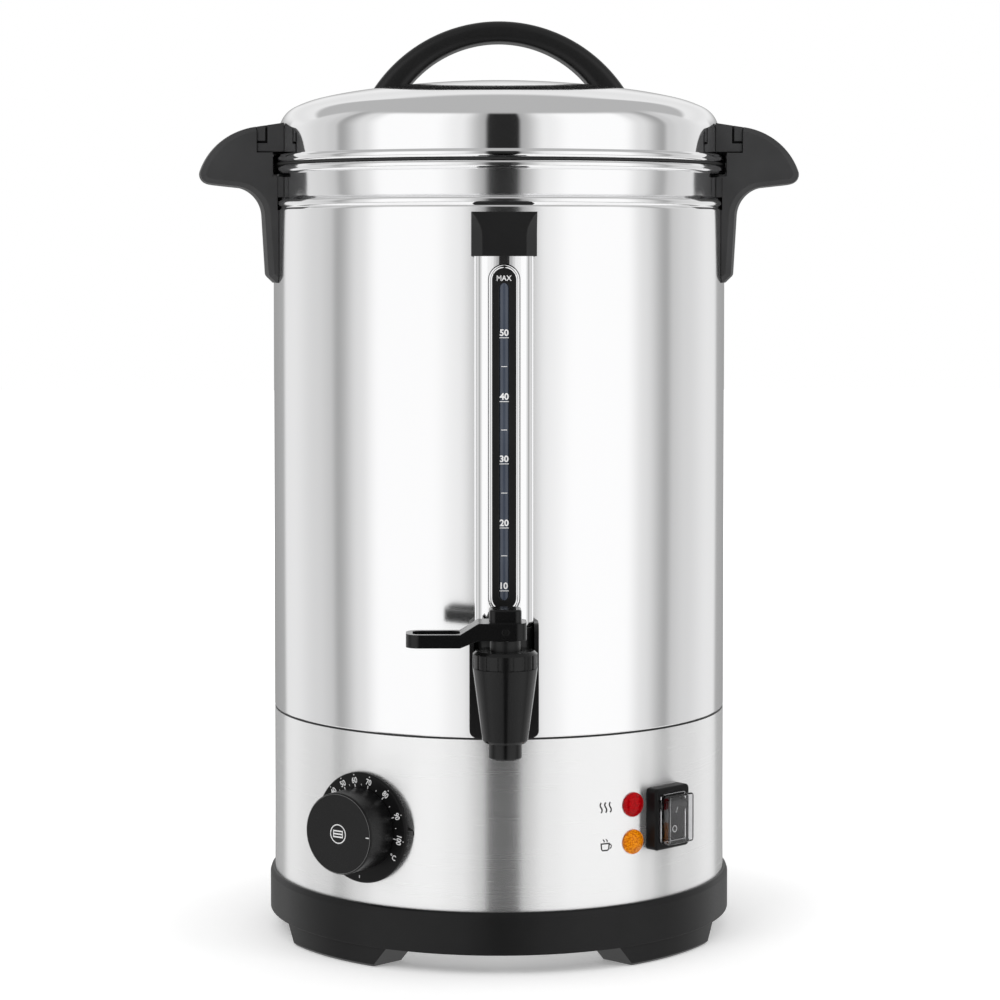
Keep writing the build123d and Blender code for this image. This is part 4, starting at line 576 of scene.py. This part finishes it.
def circle(radius, steps=32, centre=(0.0, 0.0), start=0.0, end=360.0):
    """Points round a circle or part of it."""
    span = radians(end - start) / steps
    angles = [radians(start) + span * k for k in range(steps + (end - start < 360))]
    return [(centre[0] + radius * cos(a), centre[1] + radius * sin(a)) for a in angles]


def band(radius, width, steps=48):
    """Flat ring as a closed stroke made of two half rings."""
    halves = [circle(radius, steps // 2, start=s, end=s + 180.0) for s in (0, 180)]
    return [stroke(half, width) for half in halves]


def loft(rings, closed=False):
    """Skin over rings of as many points each; ends are capped unless the rings close up."""
    bm = bmesh.new()
    loops = [[bm.verts.new(point) for point in ring] for ring in rings]
    pairs = list(zip(loops, loops[1:])) + ([(loops[-1], loops[0])] if closed else [])
    for low, high in pairs:
        for k in range(len(low)):
            n = (k + 1) % len(low)
            bm.faces.new((low[k], low[n], high[n], high[k]))
    if not closed:
        bm.faces.new(loops[0])
        bm.faces.new(loops[-1])
    return bm


def carve(bm, cutter):
    """Mesh less a cutter."""
    meshes = []
    for part in (bm, cutter):
        bmesh.ops.recalc_face_normals(part, faces=part.faces)
        mesh = bpy.data.meshes.new("cut")
        part.to_mesh(mesh)
        part.free()
        thing = bpy.data.objects.new("cut", mesh)
        bpy.context.scene.collection.objects.link(thing)
        meshes.append(thing)
    body, tool = meshes
    cut = body.modifiers.new("cut", "BOOLEAN")
    cut.operation = "DIFFERENCE"
    cut.solver = "EXACT"
    cut.object = tool
    result = bmesh.new()
    result.from_mesh(body.evaluated_get(bpy.context.evaluated_depsgraph_get()).data)
    for thing in meshes:
        mesh = thing.data
        bpy.data.objects.remove(thing)
        bpy.data.meshes.remove(mesh)
    return result


def join(bm, part, place=Matrix()):
    """Adds one mesh to another, moved, and frees it."""
    part.transform(place)
    mesh = bpy.data.meshes.new("part")
    part.to_mesh(mesh)
    part.free()
    bm.from_mesh(mesh)
    bpy.data.meshes.remove(mesh)


def ink(outline):
    """Thin print of one outline."""
    return prism(outline, -INK_SINK, INK)


def print_of(outlines):
    """Thin print from several outlines."""
    bm = bmesh.new()
    for outline in outlines:
        join(bm, ink(outline))
    return bm


def lettering(text, height, weight=0.0, width=1.0):
    """Plain figures as a thin mesh, centred on the origin; height is that of a capital."""
    curve = bpy.data.curves.new("text", "FONT")
    curve.body = text
    curve.size = 1.0
    curve.offset = weight
    curve.resolution_u = 3
    source = bpy.data.objects.new("text", curve)
    bpy.context.scene.collection.objects.link(source)
    flat = bpy.data.meshes.new_from_object(source.evaluated_get(bpy.context.evaluated_depsgraph_get()))
    bpy.data.objects.remove(source)
    bm = bmesh.new()
    bm.from_mesh(flat)
    bpy.data.meshes.remove(flat)
    bmesh.ops.remove_doubles(bm, verts=bm.verts, dist=1e-5)
    low_x, high_x = min(v.co.x for v in bm.verts), max(v.co.x for v in bm.verts)
    low_y, high_y = min(v.co.y for v in bm.verts), max(v.co.y for v in bm.verts)
    size = height / (high_y - low_y)
    for vert in bm.verts:
        vert.co.x = (vert.co.x - (low_x + high_x) / 2) * size * width
        vert.co.y = (vert.co.y - (low_y + high_y) / 2) * size
        vert.co.z = -INK_SINK
    grown = bmesh.ops.extrude_face_region(bm, geom=bm.faces[:])
    for vert in grown["geom"]:
        if isinstance(vert, bmesh.types.BMVert):
            vert.co.z = INK
    return bm


def wrap(bm, angle, height):
    """Bends a flat print round the skirt, at an angle from the front."""
    for vert in bm.verts:
        around = radians(angle) + vert.co.x / BODY_R
        radius = BODY_R + vert.co.z
        vert.co = (radius * sin(around), -radius * cos(around), height + vert.co.y)
    return bm


def shown(name, bm, body, material, replaced=(), sharp=32.0):
    """Turns a mesh in millimetres into a piece that rides on a body."""
    bm.transform(ROW)
    bmesh.ops.recalc_face_normals(bm, faces=bm.faces)
    for edge in bm.edges:
        edge.smooth = edge.calc_face_angle(0.0) < radians(sharp)
    for face in bm.faces:
        face.smooth = True
    mesh = bpy.data.meshes.new(name)
    bm.to_mesh(mesh)
    bm.free()
    piece = bpy.data.objects.new(name, mesh)
    bpy.context.scene.collection.objects.link(piece)
    mesh.materials.append(MATERIALS[material])
    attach(piece, body)
    if replaced:
        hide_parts(*replaced)
    return piece


def dress(name, material):
    """Gives a CAD node a material."""
    mesh = NODES[name].data
    mesh.materials.clear()
    mesh.materials.append(MATERIALS[material])


MATERIALS = {
    "steel": polished_steel(), "satin": satin_steel(), "brushed": brushed_steel(),
    "black": black_plastic(),
    "tap_black": black_plastic("tap_black", 0.005, 0.17, 0.32),
    "handle_black": black_plastic("handle_black", 0.034, 0.44, 0.34, 0.0008),
    "knob_black": black_plastic("knob_black", 0.006, 0.30, 0.28, 0.0006),
    "ring_black": black_plastic("ring_black", 0.009, 0.34, 0.22),
    "dial_black": black_plastic("dial_black", 0.005, 0.38, 0.18, 0.0004),
    "black_oxide": plain_metal("black_oxide", grey(0.02), grey(0.035), 0.35),
    "wet_glass": moulded("wet_glass", (0.045, 0.055, 0.078), (0.058, 0.070, 0.095), 0.08),
    "rubber": moulded("rubber", grey(0.012), grey(0.02), 0.55),
    "zinc": plain_metal("zinc", grey(0.50), grey(0.68), 0.34),
    "aluminium": plain_metal("aluminium", (0.66, 0.66, 0.67), (0.80, 0.80, 0.81), 0.42),
    "copper": plain_metal("copper", (0.66, 0.36, 0.24), (0.78, 0.46, 0.31), 0.28),
    "brass": plain_metal("brass", (0.70, 0.55, 0.28), (0.83, 0.69, 0.40), 0.28),
    "tube": clear_plastic("tube", (0.62, 0.68, 0.80), 1.38, 0.06),
    "cover": clear_plastic("cover", (0.95, 0.95, 0.96)),
    "red": lamp_lens("red", (0.30, 0.0, 0.002), (0.46, 0.002, 0.005)),
    "amber": lamp_lens("amber", (0.55, 0.13, 0.0), (0.88, 0.30, 0.005)),
    "light_plastic": moulded("light_plastic", (0.66, 0.65, 0.61), (0.76, 0.75, 0.71), 0.45),
    "red_plastic": moulded("red_plastic", (0.50, 0.02, 0.02), (0.62, 0.03, 0.03), 0.28),
    "brown": moulded("brown", (0.16, 0.07, 0.03), (0.24, 0.11, 0.055), 0.42),
    "blue": moulded("blue", (0.03, 0.09, 0.33), (0.055, 0.13, 0.42), 0.42),
    # painted highlight for the edge of the knob's face
    "painted_highlight_grey": moulded("painted_highlight_grey", grey(0.13), grey(0.19), 0.35),
    "white_ink": moulded("white_ink", grey(0.80), grey(0.90), 0.45),
    # painted shade for the bottoms of the lugs' grooves
    "painted_groove_shade": moulded("painted_groove_shade", grey(0.002), grey(0.003), 0.8, gloss=0.1),
    "black_ink": moulded("black_ink", grey(0.010), grey(0.016), 0.45),
}
OF_SLOT = {
    "polished_steel": "steel", "brushed_skirt": "brushed", "black_plastic": "black",
    "zinc_steel": "zinc", "aluminium_plate": "aluminium", "copper": "copper", "brass_blades": "brass",
    "silicone": "rubber", "clear_tube": "tube", "clear_cover": "cover", "red_lens": "red",
    "amber_lens": "amber", "light_plastic": "light_plastic", "red_plastic": "red_plastic",
    "lead_brown": "brown", "lead_blue": "blue"}
for node in NODES:
    dress(node, OF_SLOT[SLOT_OF[node]])
DRESSED = {
    "tap_black": ("tap_body", "tap_collar", "tap_lever", "rocker"),
    "handle_black": ("handle_left", "handle_right", "lid_lug_left", "lid_lug_right"),
    "knob_black": ("knob",), "dial_black": ("dial_plate", "switch_housing"),
    "ring_black": ("base_ring",), "black_oxide": ("lever_pin",)}
for material, nodes in DRESSED.items():
    for node in nodes:
        dress(node, material)


# ---------------------------------------------------------------- tank and lid
BEAD_FOOT = ((0.0, -1.2), (0.05, -0.8), (0.3, -0.25), (0.5, 0.1))     # inwards from the wall, and up
BEAD_CROWN = ((0.9, -0.35), (1.4, 0.0))       # the same above the bead
NECK_FOOT = ((0.7, 0.35), (0.15, 0.75), (0.0, 1.4))       # out from the neck, and up from the bead
NECK_STEP = 1.8           # height of the step inside the bead
RIM_FOLD = 2.0            # the neck's inner face ends this far below the roll's centre
UNDER_LAP = 3.0           # the floor's underside meets the wall this far above the floor
LID_LOOPS = (0.9, 0.3)    # edge loops above the lid's roll keep its wall's shading straight
ARCH_REACH = 60           # degrees from the crown to each end, which the lid's face cuts off
ARCH_FIT = 0.1            # between the handle's ends and the lid
SEAM_SHADE_SINK = 0.35          # the face of the seam's painted shade lies this far inside the skirt's
SEAM_SHADE_DROP = 0.25
SEAM_SHADE_LAP = 0.05
SADDLE_FIT = 0.15         # between the pads and the neck
SADDLE_HALF = 32.4
SADDLE_R = 121.6
SADDLE_LOW = 387.4
SADDLE_HIGH = 398.0
# where the plates of painted shade lie in the lugs' grooves
GROOVES = ((125.35, 126.45, 416.9, 423.4), (125.35, 130.6, 415.7, 416.7))      # radii and heights
GROOVE_FLOOR = 29.55
GROOVE_FACE = 31.0


def tank_wall():
    """Tank: wall with a turned-in lower edge, dished floor, bead, neck and rolled rim."""
    wall_in = BODY_R - SHEET
    low = SEAM_Z + SEAM_HALF
    bead_top = BEAD_Z + BEAD_H
    neck_in = NECK_R - SHEET
    floor_edge = wall_in - FLOOR_ROUND
    outside = [(wall_in, low)] + arc((BODY_R - EDGE_ROUND, low + EDGE_ROUND), EDGE_ROUND, -90, 0, 6)
    outside += [(BODY_R - inward, BEAD_Z + up) for inward, up in BEAD_FOOT]
    outside += arc((BODY_R + BEAD_OUT - BEAD_ROUND, BEAD_Z + BEAD_H / 2), BEAD_ROUND, -45, 45, 12)
    outside += [(BODY_R - inward, bead_top + up) for inward, up in BEAD_CROWN]
    outside += [(NECK_R + outward, bead_top + up) for outward, up in NECK_FOOT]
    rim_z = RIM_TOP - ROLL_R
    join_angle = degrees(atan2(-sqrt(ROLL_R ** 2 - (ROLL_AT - NECK_R) ** 2), NECK_R - ROLL_AT))
    roll = arc((ROLL_AT, rim_z), ROLL_R, join_angle, ROLL_END, 40)
    inside = [(neck_in, rim_z - RIM_FOLD), (neck_in, bead_top), (wall_in, bead_top - NECK_STEP),
              (wall_in, TANK_FLOOR + FLOOR_ROUND)]
    inside += arc((floor_edge, TANK_FLOOR + FLOOR_ROUND), FLOOR_ROUND, 0, -90, 12)
    under = [(0, TANK_FLOOR), (0, TANK_FLOOR - SHEET), (floor_edge, TANK_FLOOR - SHEET)]
    under += arc((floor_edge, TANK_FLOOR + FLOOR_ROUND), FLOOR_ROUND + SHEET, -90, -30, 8)
    under += [(wall_in, TANK_FLOOR + UNDER_LAP)]
    return outside + roll + inside + under


def lid_arcs(drop):
    """Outer face of the lid, moved in by a distance, from its middle to its wall."""
    points = []
    reach, height, slope = 0.0, LID_TOP, 0.0
    for radius, edge in LID_ARCS:
        centre = (reach - radius * sin(slope), height - radius * cos(slope))
        turn = asin(sin(slope) + (edge - reach) / radius)
        points += arc(centre, radius - drop, 90 - degrees(slope), 90 - degrees(turn), 12)[:-1]
        reach, height, slope = edge, centre[1] + radius * cos(turn), turn
    corner_r = (LID_WALL_R - reach) / (1 - sin(slope))
    corner = (LID_WALL_R - corner_r, height - corner_r * cos(slope))
    return points + arc(corner, corner_r - drop, 90 - degrees(slope), 0, 24)


def lid_dome():
    """Lid: dome with a rounded shoulder, rolled edge and a skirt inside the tank."""
    roll_z = LID_BOTTOM + ROLL_R
    meet = sqrt(ROLL_R ** 2 - (ROLL_AT - LID_WALL_R) ** 2)
    start = degrees(atan2(meet, LID_WALL_R - ROLL_AT))
    outside = lid_arcs(0.0) + [(LID_WALL_R, roll_z + meet + loop) for loop in LID_LOOPS]
    roll = arc((ROLL_AT, roll_z), ROLL_R, start, -90, 34)
    skirt_in = LID_SKIRT_R - SHEET
    skirt = [(LID_SKIRT_R, LID_BOTTOM), (LID_SKIRT_R, LID_BOTTOM - LID_SKIRT_H),
             (skirt_in, LID_BOTTOM - LID_SKIRT_H), (skirt_in, LID_BOTTOM + SHEET),
             (LID_WALL_R - SHEET, LID_BOTTOM + SHEET)]
    return outside + roll + skirt + lid_arcs(SHEET)[::-1]


def arch_handle():
    """Lid's handle: a rounded bar along an arc, deeper towards its feet."""
    centre = ARCH_TOP - ARCH_R
    drop = centre - (ARCH_TOP - ARCH_DEPTH - ARCH_INNER_R)
    rings = []
    for step in range(-ARCH_REACH, ARCH_REACH + 1):
        angle = radians(step)
        across, up = sin(angle), cos(angle)
        inner = -drop * up + sqrt(ARCH_INNER_R ** 2 - (drop * across) ** 2)
        half = (ARCH_R - inner) / 2
        middle = (ARCH_R + inner) / 2
        ring = []
        for quarter, (sx, sy) in enumerate(((1, 1), (-1, 1), (-1, -1), (1, -1))):
            for k in range(7):
                turn = radians(90 * quarter + 15 * k)
                out = middle + sx * (half - ARCH_ROUND) + ARCH_ROUND * cos(turn)
                ring.append((out * across, sy * (ARCH_HALF_W - ARCH_ROUND) + ARCH_ROUND * sin(turn),
                             centre + out * up))
        rings.append(ring)
    under = lid_arcs(-ARCH_FIT) + [(LID_WALL_R + ARCH_FIT, LID_BOTTOM), (0, LID_BOTTOM)]
    return carve(loft(rings), lathe(under, 144))


def seam_painted_shade():
    """Black ring in the joint between tank and skirt: painted shade of the seam's gap."""
    outer = BODY_R - SEAM_SHADE_SINK
    inner = BODY_R - SHEET - SEAM_SHADE_LAP
    low, high = SEAM_Z - SEAM_SHADE_DROP, SEAM_Z + SEAM_HALF + SEAM_SHADE_LAP
    return [(inner, low), (outer, low), (outer, high), (inner, high)]


def handle_saddles():
    """Pads of the side handles against the tank's neck, between bead and rim."""
    bm = bmesh.new()
    inner_r = NECK_R + SADDLE_FIT
    inner_end, outer_end = (degrees(asin(SADDLE_HALF / radius)) for radius in (inner_r, SADDLE_R))
    outline = arc((0, 0), inner_r, -inner_end, inner_end, 12)
    outline += arc((0, 0), SADDLE_R, outer_end, -outer_end, 12)
    for side in (-1, 1):
        join(bm, prism([(side * x, y) for x, y in outline[::side]], SADDLE_LOW, SADDLE_HIGH))
    return bm


def lug_groove_painted_shade():
    """Painted shade: near-black plates in the bottoms of the stepped grooves at both ends of the lid's
    lugs.
    """
    bm = bmesh.new()
    for side in (-1, 1):
        for end in (-1, 1):
            for inner, outer, low, high in GROOVES:
                rings = []
                for y in (GROOVE_FLOOR, GROOVE_FACE):
                    near, far = sqrt(inner ** 2 - y ** 2), sqrt(outer ** 2 - y ** 2)
                    rings.append([(side * near, end * y, low), (side * far, end * y, low),
                                  (side * far, end * y, high), (side * near, end * y, high)])
                join(bm, loft(rings))
    return bm


shown("tank_wall", lathe(tank_wall()), "root", "satin", ("tank",))
shown("lid_dome", lathe(lid_dome()), "lid", "steel", ("lid_shell",))
shown("arch_handle", arch_handle(), "lid", "black", ("lid_handle",))
# black ring of painted shade in the seam between tank and skirt
shown("seam_painted_shade", lathe(seam_painted_shade()), "root", "rubber")
shown("handle_saddles", handle_saddles(), "root", "handle_black")
# near-black plates of painted shade in the lugs' grooves
shown("lug_groove_painted_shade", lug_groove_painted_shade(), "lid", "painted_groove_shade")


# ---------------------------------------------------------------- gauge
HOOD_BACK = 8.0           # the cap's back lies this far inside the wall's radius
HOOD_CURVE = 12.0         # its bevels reach their full width this far down
HOOD_RINGS = 14
HOOD_CROWD = 1.6          # the rings stand closer where the bevels curve
GUARD_BACK = 0.7          # the guard's legs end this far inside the wall's radius
SLOT_CUT = (2.0, 5.0)     # its slot is cut from this far before the wall to this far before the guard
FOOT_LOW = 162.4
FOOT_HIGH = 174.8
FOOT_T = 0.5
FOOT_BEVEL = 0.8
FOOT_FIT = 0.05
FOOT_INSIDE = 0.6         # thickness of the clip behind the guard
TUBE_FIT = 0.05
TUBE_TIP = 0.05
TUBE_SINK = 0.06
TUBE_CROWN = 0.45         # height of the tube's curve as a share of its half width
LEVEL_HALF = (2.25, 1.5)
LEVEL_T = 0.4
LEVELS = (192.9, 210.1, 223.8, 240.9, 255.2, 271.8, 285.7, 302.8, 316.9)
LEVEL_FIGURES = ("10", "20", "30", "40", "50")
FIGURE_H = 3.4
FIGURE_UP = 2.5           # above its line
FIGURE_WEIGHT = 0.035
MAX_H = 2.7
MAX_Z = 346.0
MAX_WEIGHT = 0.02
MAX_WIDTH = 0.92


def gauge_hood():
    """Cap over the guard: its side bevels open from the upper corners in a curve."""
    back = BODY_R - HOOD_BACK
    depth = GCAP_TOP - GCAP_Z
    rings = []
    for k in range(HOOD_RINGS + 1):
        down = depth * (k / HOOD_RINGS) ** HOOD_CROWD
        share = 1 - (1 - min(down / HOOD_CURVE, 1.0)) ** 2
        face = GCAP_HALF - GCAP_BEVEL * share
        side = GCAP_FRONT - GCAP_BEVEL_D * share
        outline = [(-GCAP_HALF, back), (-GCAP_HALF, side), (-face, GCAP_FRONT),
                   (face, GCAP_FRONT), (GCAP_HALF, side), (GCAP_HALF, back)]
        rings.append([(x, -y, GCAP_TOP - down) for x, y in outline])
    return loft(rings)


def guard_outline(inset):
    """Half of the guard's section from its side to its middle, moved in by a distance."""
    turn = asin(GUARD_TURN / GUARD_BOW)
    corner_r = (GUARD_HALF - GUARD_TURN) / (1 - sin(turn))
    corner_x = GUARD_HALF - corner_r
    corner_y = GUARD_FRONT - GUARD_BOW + (GUARD_BOW - corner_r) * cos(turn)
    side = arc((corner_x, corner_y), corner_r - inset, 0, 90 - degrees(turn), 14)
    bow = arc((0, GUARD_FRONT - GUARD_BOW), GUARD_BOW - inset, 90 - degrees(turn), 90, 6)
    return [(GUARD_HALF - inset, BODY_R - GUARD_BACK)] + side + bow[1:]


def both_sides(inset):
    """Whole section of the guard, from its right side to its left."""
    right = guard_outline(inset)
    return right + [(-x, y) for x, y in right[-2::-1]]


def gauge_guard():
    """Steel guard over the sight tube, gently bowed, with a long slot."""
    outline = [(x, -y) for x, y in both_sides(0.0) + both_sides(GUARD_T)[::-1]]
    low, high = SLOT_Z + SLOT_HALF, SLOT_TOP - SLOT_HALF
    slot = circle(SLOT_HALF, 32, (0, high), 0, 180) + circle(SLOT_HALF, 32, (0, low), 180, 360)
    cutter = prism(slot, BODY_R + SLOT_CUT[0], GUARD_FRONT + SLOT_CUT[1])
    cutter.transform(facing(0, 0))
    return carve(prism(outline, GUARD_Z, GUARD_TOP), cutter)


def slot_lip():
    """Rolled lip round the scale, inside the guard's slot."""
    low, high = SLOT_Z + SLOT_HALF, SLOT_TOP - SLOT_HALF
    stations = [(t, high) for t in range(0, 181, 6)] + [(t, low) for t in range(180, 361, 6)]
    rings = []
    for turn, middle in stations:
        across, up = cos(radians(turn)), sin(radians(turn))
        section = [(LIP_AT + LIP_HALF * cos(a), LIP_BACK + LIP_RISE * sin(a))
                   for a in (radians(180 - 15 * k) for k in range(13))]
        rings.append([(out * across, -y, middle + out * up) for out, y in section])
    return loft(rings, True)


def gauge_foot():
    """Black clip of the mount round the guard's lower end."""
    back = both_sides(GUARD_T + FOOT_INSIDE)[::-1]
    rings = []
    for height, grow in ((FOOT_LOW, FOOT_T), (FOOT_HIGH - FOOT_BEVEL, FOOT_T), (FOOT_HIGH, FOOT_FIT)):
        rings.append([(x, -y, height) for x, y in both_sides(-grow - FOOT_FIT) + back])
    return loft(rings)


def gauge_marks():
    """Level lines across the window, figures above every second line, and the top mark."""
    bm = bmesh.new()
    front = facing(0, 0, STRIP_FACE)
    for index, height in enumerate(LEVELS):
        half = LEVEL_HALF[index % 2]
        line = stroke([(-half, 0), (half, 0)], LEVEL_T)
        join(bm, ink(line), front @ Matrix.Translation((0, height, 0)))
    for figure, height in zip(LEVEL_FIGURES, LEVELS[::2]):
        word = lettering(figure, FIGURE_H, FIGURE_WEIGHT)
        join(bm, word, front @ Matrix.Translation((0, height + FIGURE_UP, 0)))
    word = lettering("MAX", MAX_H, MAX_WEIGHT, MAX_WIDTH)
    join(bm, word, front @ Matrix.Translation((0, MAX_Z, 0)))
    return bm


def window_tube():
    """Front of the filled sight tube, seen in the strip's window."""
    half = WINDOW_W / 2 - TUBE_FIT
    low, high = WINDOW_Z + half, WINDOW_TOP - half
    face = STRIP_FACE - TUBE_SINK
    rings = []
    for width, height in arc((0, low), half, -90, -10, 8) + arc((0, high), half, 0, 90, 9):
        width = max(width, TUBE_TIP)
        rings.append([(width * cos(a), TUBE_CROWN * width * (1 - sin(a)) - face, height)
                      for a in (radians(12 * k) for k in range(16))])
    return loft(rings)


shown("gauge_hood", gauge_hood(), "root", "black", ("gauge_cap",), 20.0)
shown("gauge_marks", gauge_marks(), "root", "white_ink")
shown("window_tube", window_tube(), "root", "wet_glass")
shown("gauge_guard_front", gauge_guard(), "root", "steel", ("gauge_guard",))
shown("slot_lip", slot_lip(), "root", "steel")
shown("gauge_foot", gauge_foot(), "root", "black")


# ---------------------------------------------------------------- tap
SPRING_STEPS = 120
SPRING_TURNS = 4
SPRING_WIRE = 0.6         # radius of its wire
SPRING_LOW, SPRING_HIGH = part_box("valve_spring")


def valve_spring():
    """Coil spring over the valve's cup, as a tube along a helix."""
    low, high = SPRING_LOW / MM, SPRING_HIGH / MM
    radius = (high.x - low.x) / 2 - SPRING_WIRE
    middle = Vector(((low.x + high.x) / 2 - AXIS.x / MM, (low.y + high.y) / 2 - AXIS.y / MM))
    bottom = low.z + SPRING_WIRE
    rise = high.z - SPRING_WIRE - bottom
    rings = []
    for k in range(SPRING_STEPS + 1):
        turn = 2 * pi * SPRING_TURNS * k / SPRING_STEPS
        out = Vector((cos(turn), sin(turn)))
        ring = []
        for corner in range(8):
            around = pi / 4 * corner
            flat = middle + out * (radius + SPRING_WIRE * cos(around))
            ring.append((flat.x, flat.y, bottom + rise * k / SPRING_STEPS + SPRING_WIRE * sin(around)))
        rings.append(ring)
    return loft(rings)


spring = shown("tap_spring", valve_spring(), "tap_swivel", "zinc", ("valve_spring",))
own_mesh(spring)


# ---------------------------------------------------------------- dial and knob
DIAL_FIGURES = ((-46, "40"), (-28, "50"), (-9.5, "60"), (12, "70"), (40, "80"), (70, "90"), (99, "100"))
DIAL_FIGURE_H = 3.1
DIAL_WEIGHT = 0.025
DIAL_WIDTH = 0.85
DIAL_FIGURE_R = 24.0
DIAL_DOT = 0.33           # radius of a dot
DIAL_DOT_R = 26.7
DIAL_TICK = (1.6, 0.5)    # length and width
DIAL_TICK_R = 21.3
DIAL_SHORT = (0.8, 0.35)
DIAL_SHORT_R = 21.9
DIAL_OFF = (1.4, 0.5)     # mark below the knob
DIAL_OFF_R = 24.8
DIAL_OFF_AT = 182
UNIT_AT = 122             # the unit's angle, radius, turn, height and width
UNIT_R = 23.6
UNIT_TURN = 105
UNIT_H = 3.0
UNIT_WIDTH = 0.9
# painted highlight round the edge of the knob's face
KNOB_HIGHLIGHT_R = 19.7
KNOB_HIGHLIGHT_W = 0.22
RING_R = 4.6
RING_W = 0.55
BAR_STEP = 1.5
INDEX_AT = (17.2, 19.2)   # radii of the index line's ends
INDEX_W = 0.5


def polar(angle, radius, out=0.0):
    """Place on the dial, clockwise from the top, turned so that up points away from the middle."""
    return Matrix.Rotation(-radians(angle), 4, "Z") @ Matrix.Translation((0, radius, out))


def dial_marks():
    """Plain temperature scale: figures, ticks within and dots outside them."""
    bm = bmesh.new()
    face = facing(KNOB_AT, KNOB_Z, DIAL_FACE)
    for angle, figure in DIAL_FIGURES:
        word = lettering(figure, DIAL_FIGURE_H, DIAL_WEIGHT, DIAL_WIDTH)
        join(bm, word, face @ polar(angle, DIAL_FIGURE_R))
        join(bm, ink(circle(DIAL_DOT, 10)), face @ polar(angle, DIAL_DOT_R))
        join(bm, ink(dash(*DIAL_TICK)), face @ polar(angle, DIAL_TICK_R))
    for (low, _), (high, _) in zip(DIAL_FIGURES, DIAL_FIGURES[1:]):
        join(bm, ink(dash(*DIAL_SHORT)), face @ polar((low + high) / 2, DIAL_SHORT_R))
    join(bm, ink(dash(*DIAL_OFF)), face @ polar(DIAL_OFF_AT, DIAL_OFF_R))
    unit = polar(UNIT_AT, UNIT_R) @ Matrix.Rotation(radians(UNIT_TURN), 4, "Z")
    join(bm, lettering("°C", UNIT_H, DIAL_WEIGHT, UNIT_WIDTH), face @ unit)
    return bm


def knob_painted_highlight():
    """Painted highlight: a grey line round the edge of the knob's face, where its rounded edge catches
    the light.
    """
    bm = print_of(band(KNOB_HIGHLIGHT_R, KNOB_HIGHLIGHT_W, 96))
    bm.transform(facing(KNOB_AT, KNOB_Z, KNOB_FACE))
    return bm


def knob_marks():
    """Ring with a barred sign in the middle of the knob's face, and the index line at its edge."""
    outlines = band(RING_R, RING_W)
    for height in (-BAR_STEP, 0.0, BAR_STEP):
        outlines.append(stroke([(-2.5, height), (2.5, height)], 0.7))
    for side in (-1, 1):
        outlines.append(stroke([(side * 2.75, -1.9), (side * 2.75, 1.9)], 0.5))
    outlines.append(stroke([(radius, 0) for radius in INDEX_AT], INDEX_W))
    bm = print_of(outlines)
    bm.transform(facing(KNOB_AT, KNOB_Z, KNOB_FACE))
    return bm


shown("dial_marks", dial_marks(), "root", "white_ink")
shown("knob_marks", knob_marks(), "knob", "white_ink")
# grey line of painted highlight round the knob's face
shown("knob_painted_highlight", knob_painted_highlight(), "knob", "painted_highlight_grey")


# ---------------------------------------------------------------- skirt prints and rocker
SIGN_AT = 25.3            # degrees from the front
TAP_SIGN_AT = -22.6
ON_AT = 5.2               # up the rocker's face from its middle
OFF_AT = -4.8
ON_LINE = (3.2, 0.5)
OFF_RING = (1.5, 0.5)     # radius and width


def heat_sign():
    """Three rising waves: the heating lamp."""
    outlines = []
    for x in (-2.6, 0.0, 2.6):
        points = [(x + 0.55 * sin(pi * k / 6), -2.6 + 5.2 * k / 12) for k in range(13)]
        outlines.append(stroke(points, 0.75))
    return outlines


def cup_sign():
    """Cup with a wave of steam: the keep-warm lamp."""
    bowl = [(-2.6, 0.6), (-2.3, -2.2), (-1.7, -2.8), (1.1, -2.8), (1.7, -2.2), (2.0, 0.6)]
    outlines = [stroke(bowl, 0.7), stroke([(-2.9, 0.6), (2.3, 0.6)], 0.7)]
    outlines.append(stroke(circle(1.1, 10, (2.1, -0.9), -80, 80), 0.55))
    for x in (-1.1, 0.6):
        outlines.append(stroke([(x + 0.35 * sin(pi * k / 4), 1.4 + 0.22 * k) for k in range(8)], 0.5))
    return outlines


def tap_sign():
    """Small tap beside the dial."""
    return [stroke([(-2.0, 0.9), (1.0, 0.9), (1.5, 0.4), (1.5, -1.6)], 0.65),
            stroke([(-0.6, 0.9), (-0.6, 1.9)], 0.5), stroke([(-1.4, 1.9), (0.2, 1.9)], 0.5)]


def rocker_marks():
    """I and O on the rocker's hollow face."""
    bm = bmesh.new()
    join(bm, ink(dash(*ON_LINE)), Matrix.Translation((0, ON_AT, 0)))
    join(bm, print_of(band(*OFF_RING, 32)), Matrix.Translation((0, OFF_AT, 0)))
    for vert in bm.verts:
        vert.co.z += ROCKER_TOP - ROCKER_SAG * (1 - (vert.co.y / ROCKER_HALF) ** 2)
    tilt = lifted(ROCKER_PIVOT) @ Matrix.Rotation(radians(ROCKER_TILT), 4, "X") @ lifted(-ROCKER_PIVOT)
    bm.transform(facing(SWITCH_AT, SWITCH_Z) @ tilt)
    return bm


for name, outlines, angle, height in (("heat_sign", heat_sign(), SIGN_AT, LAMP_Z[0]),
                                      ("cup_sign", cup_sign(), SIGN_AT, LAMP_Z[1]),
                                      ("tap_sign", tap_sign(), TAP_SIGN_AT, KNOB_Z)):
    shown(name, wrap(print_of(outlines), angle, height), "root", "black_ink")
shown("rocker_marks", rocker_marks(), "rocker", "white_ink")
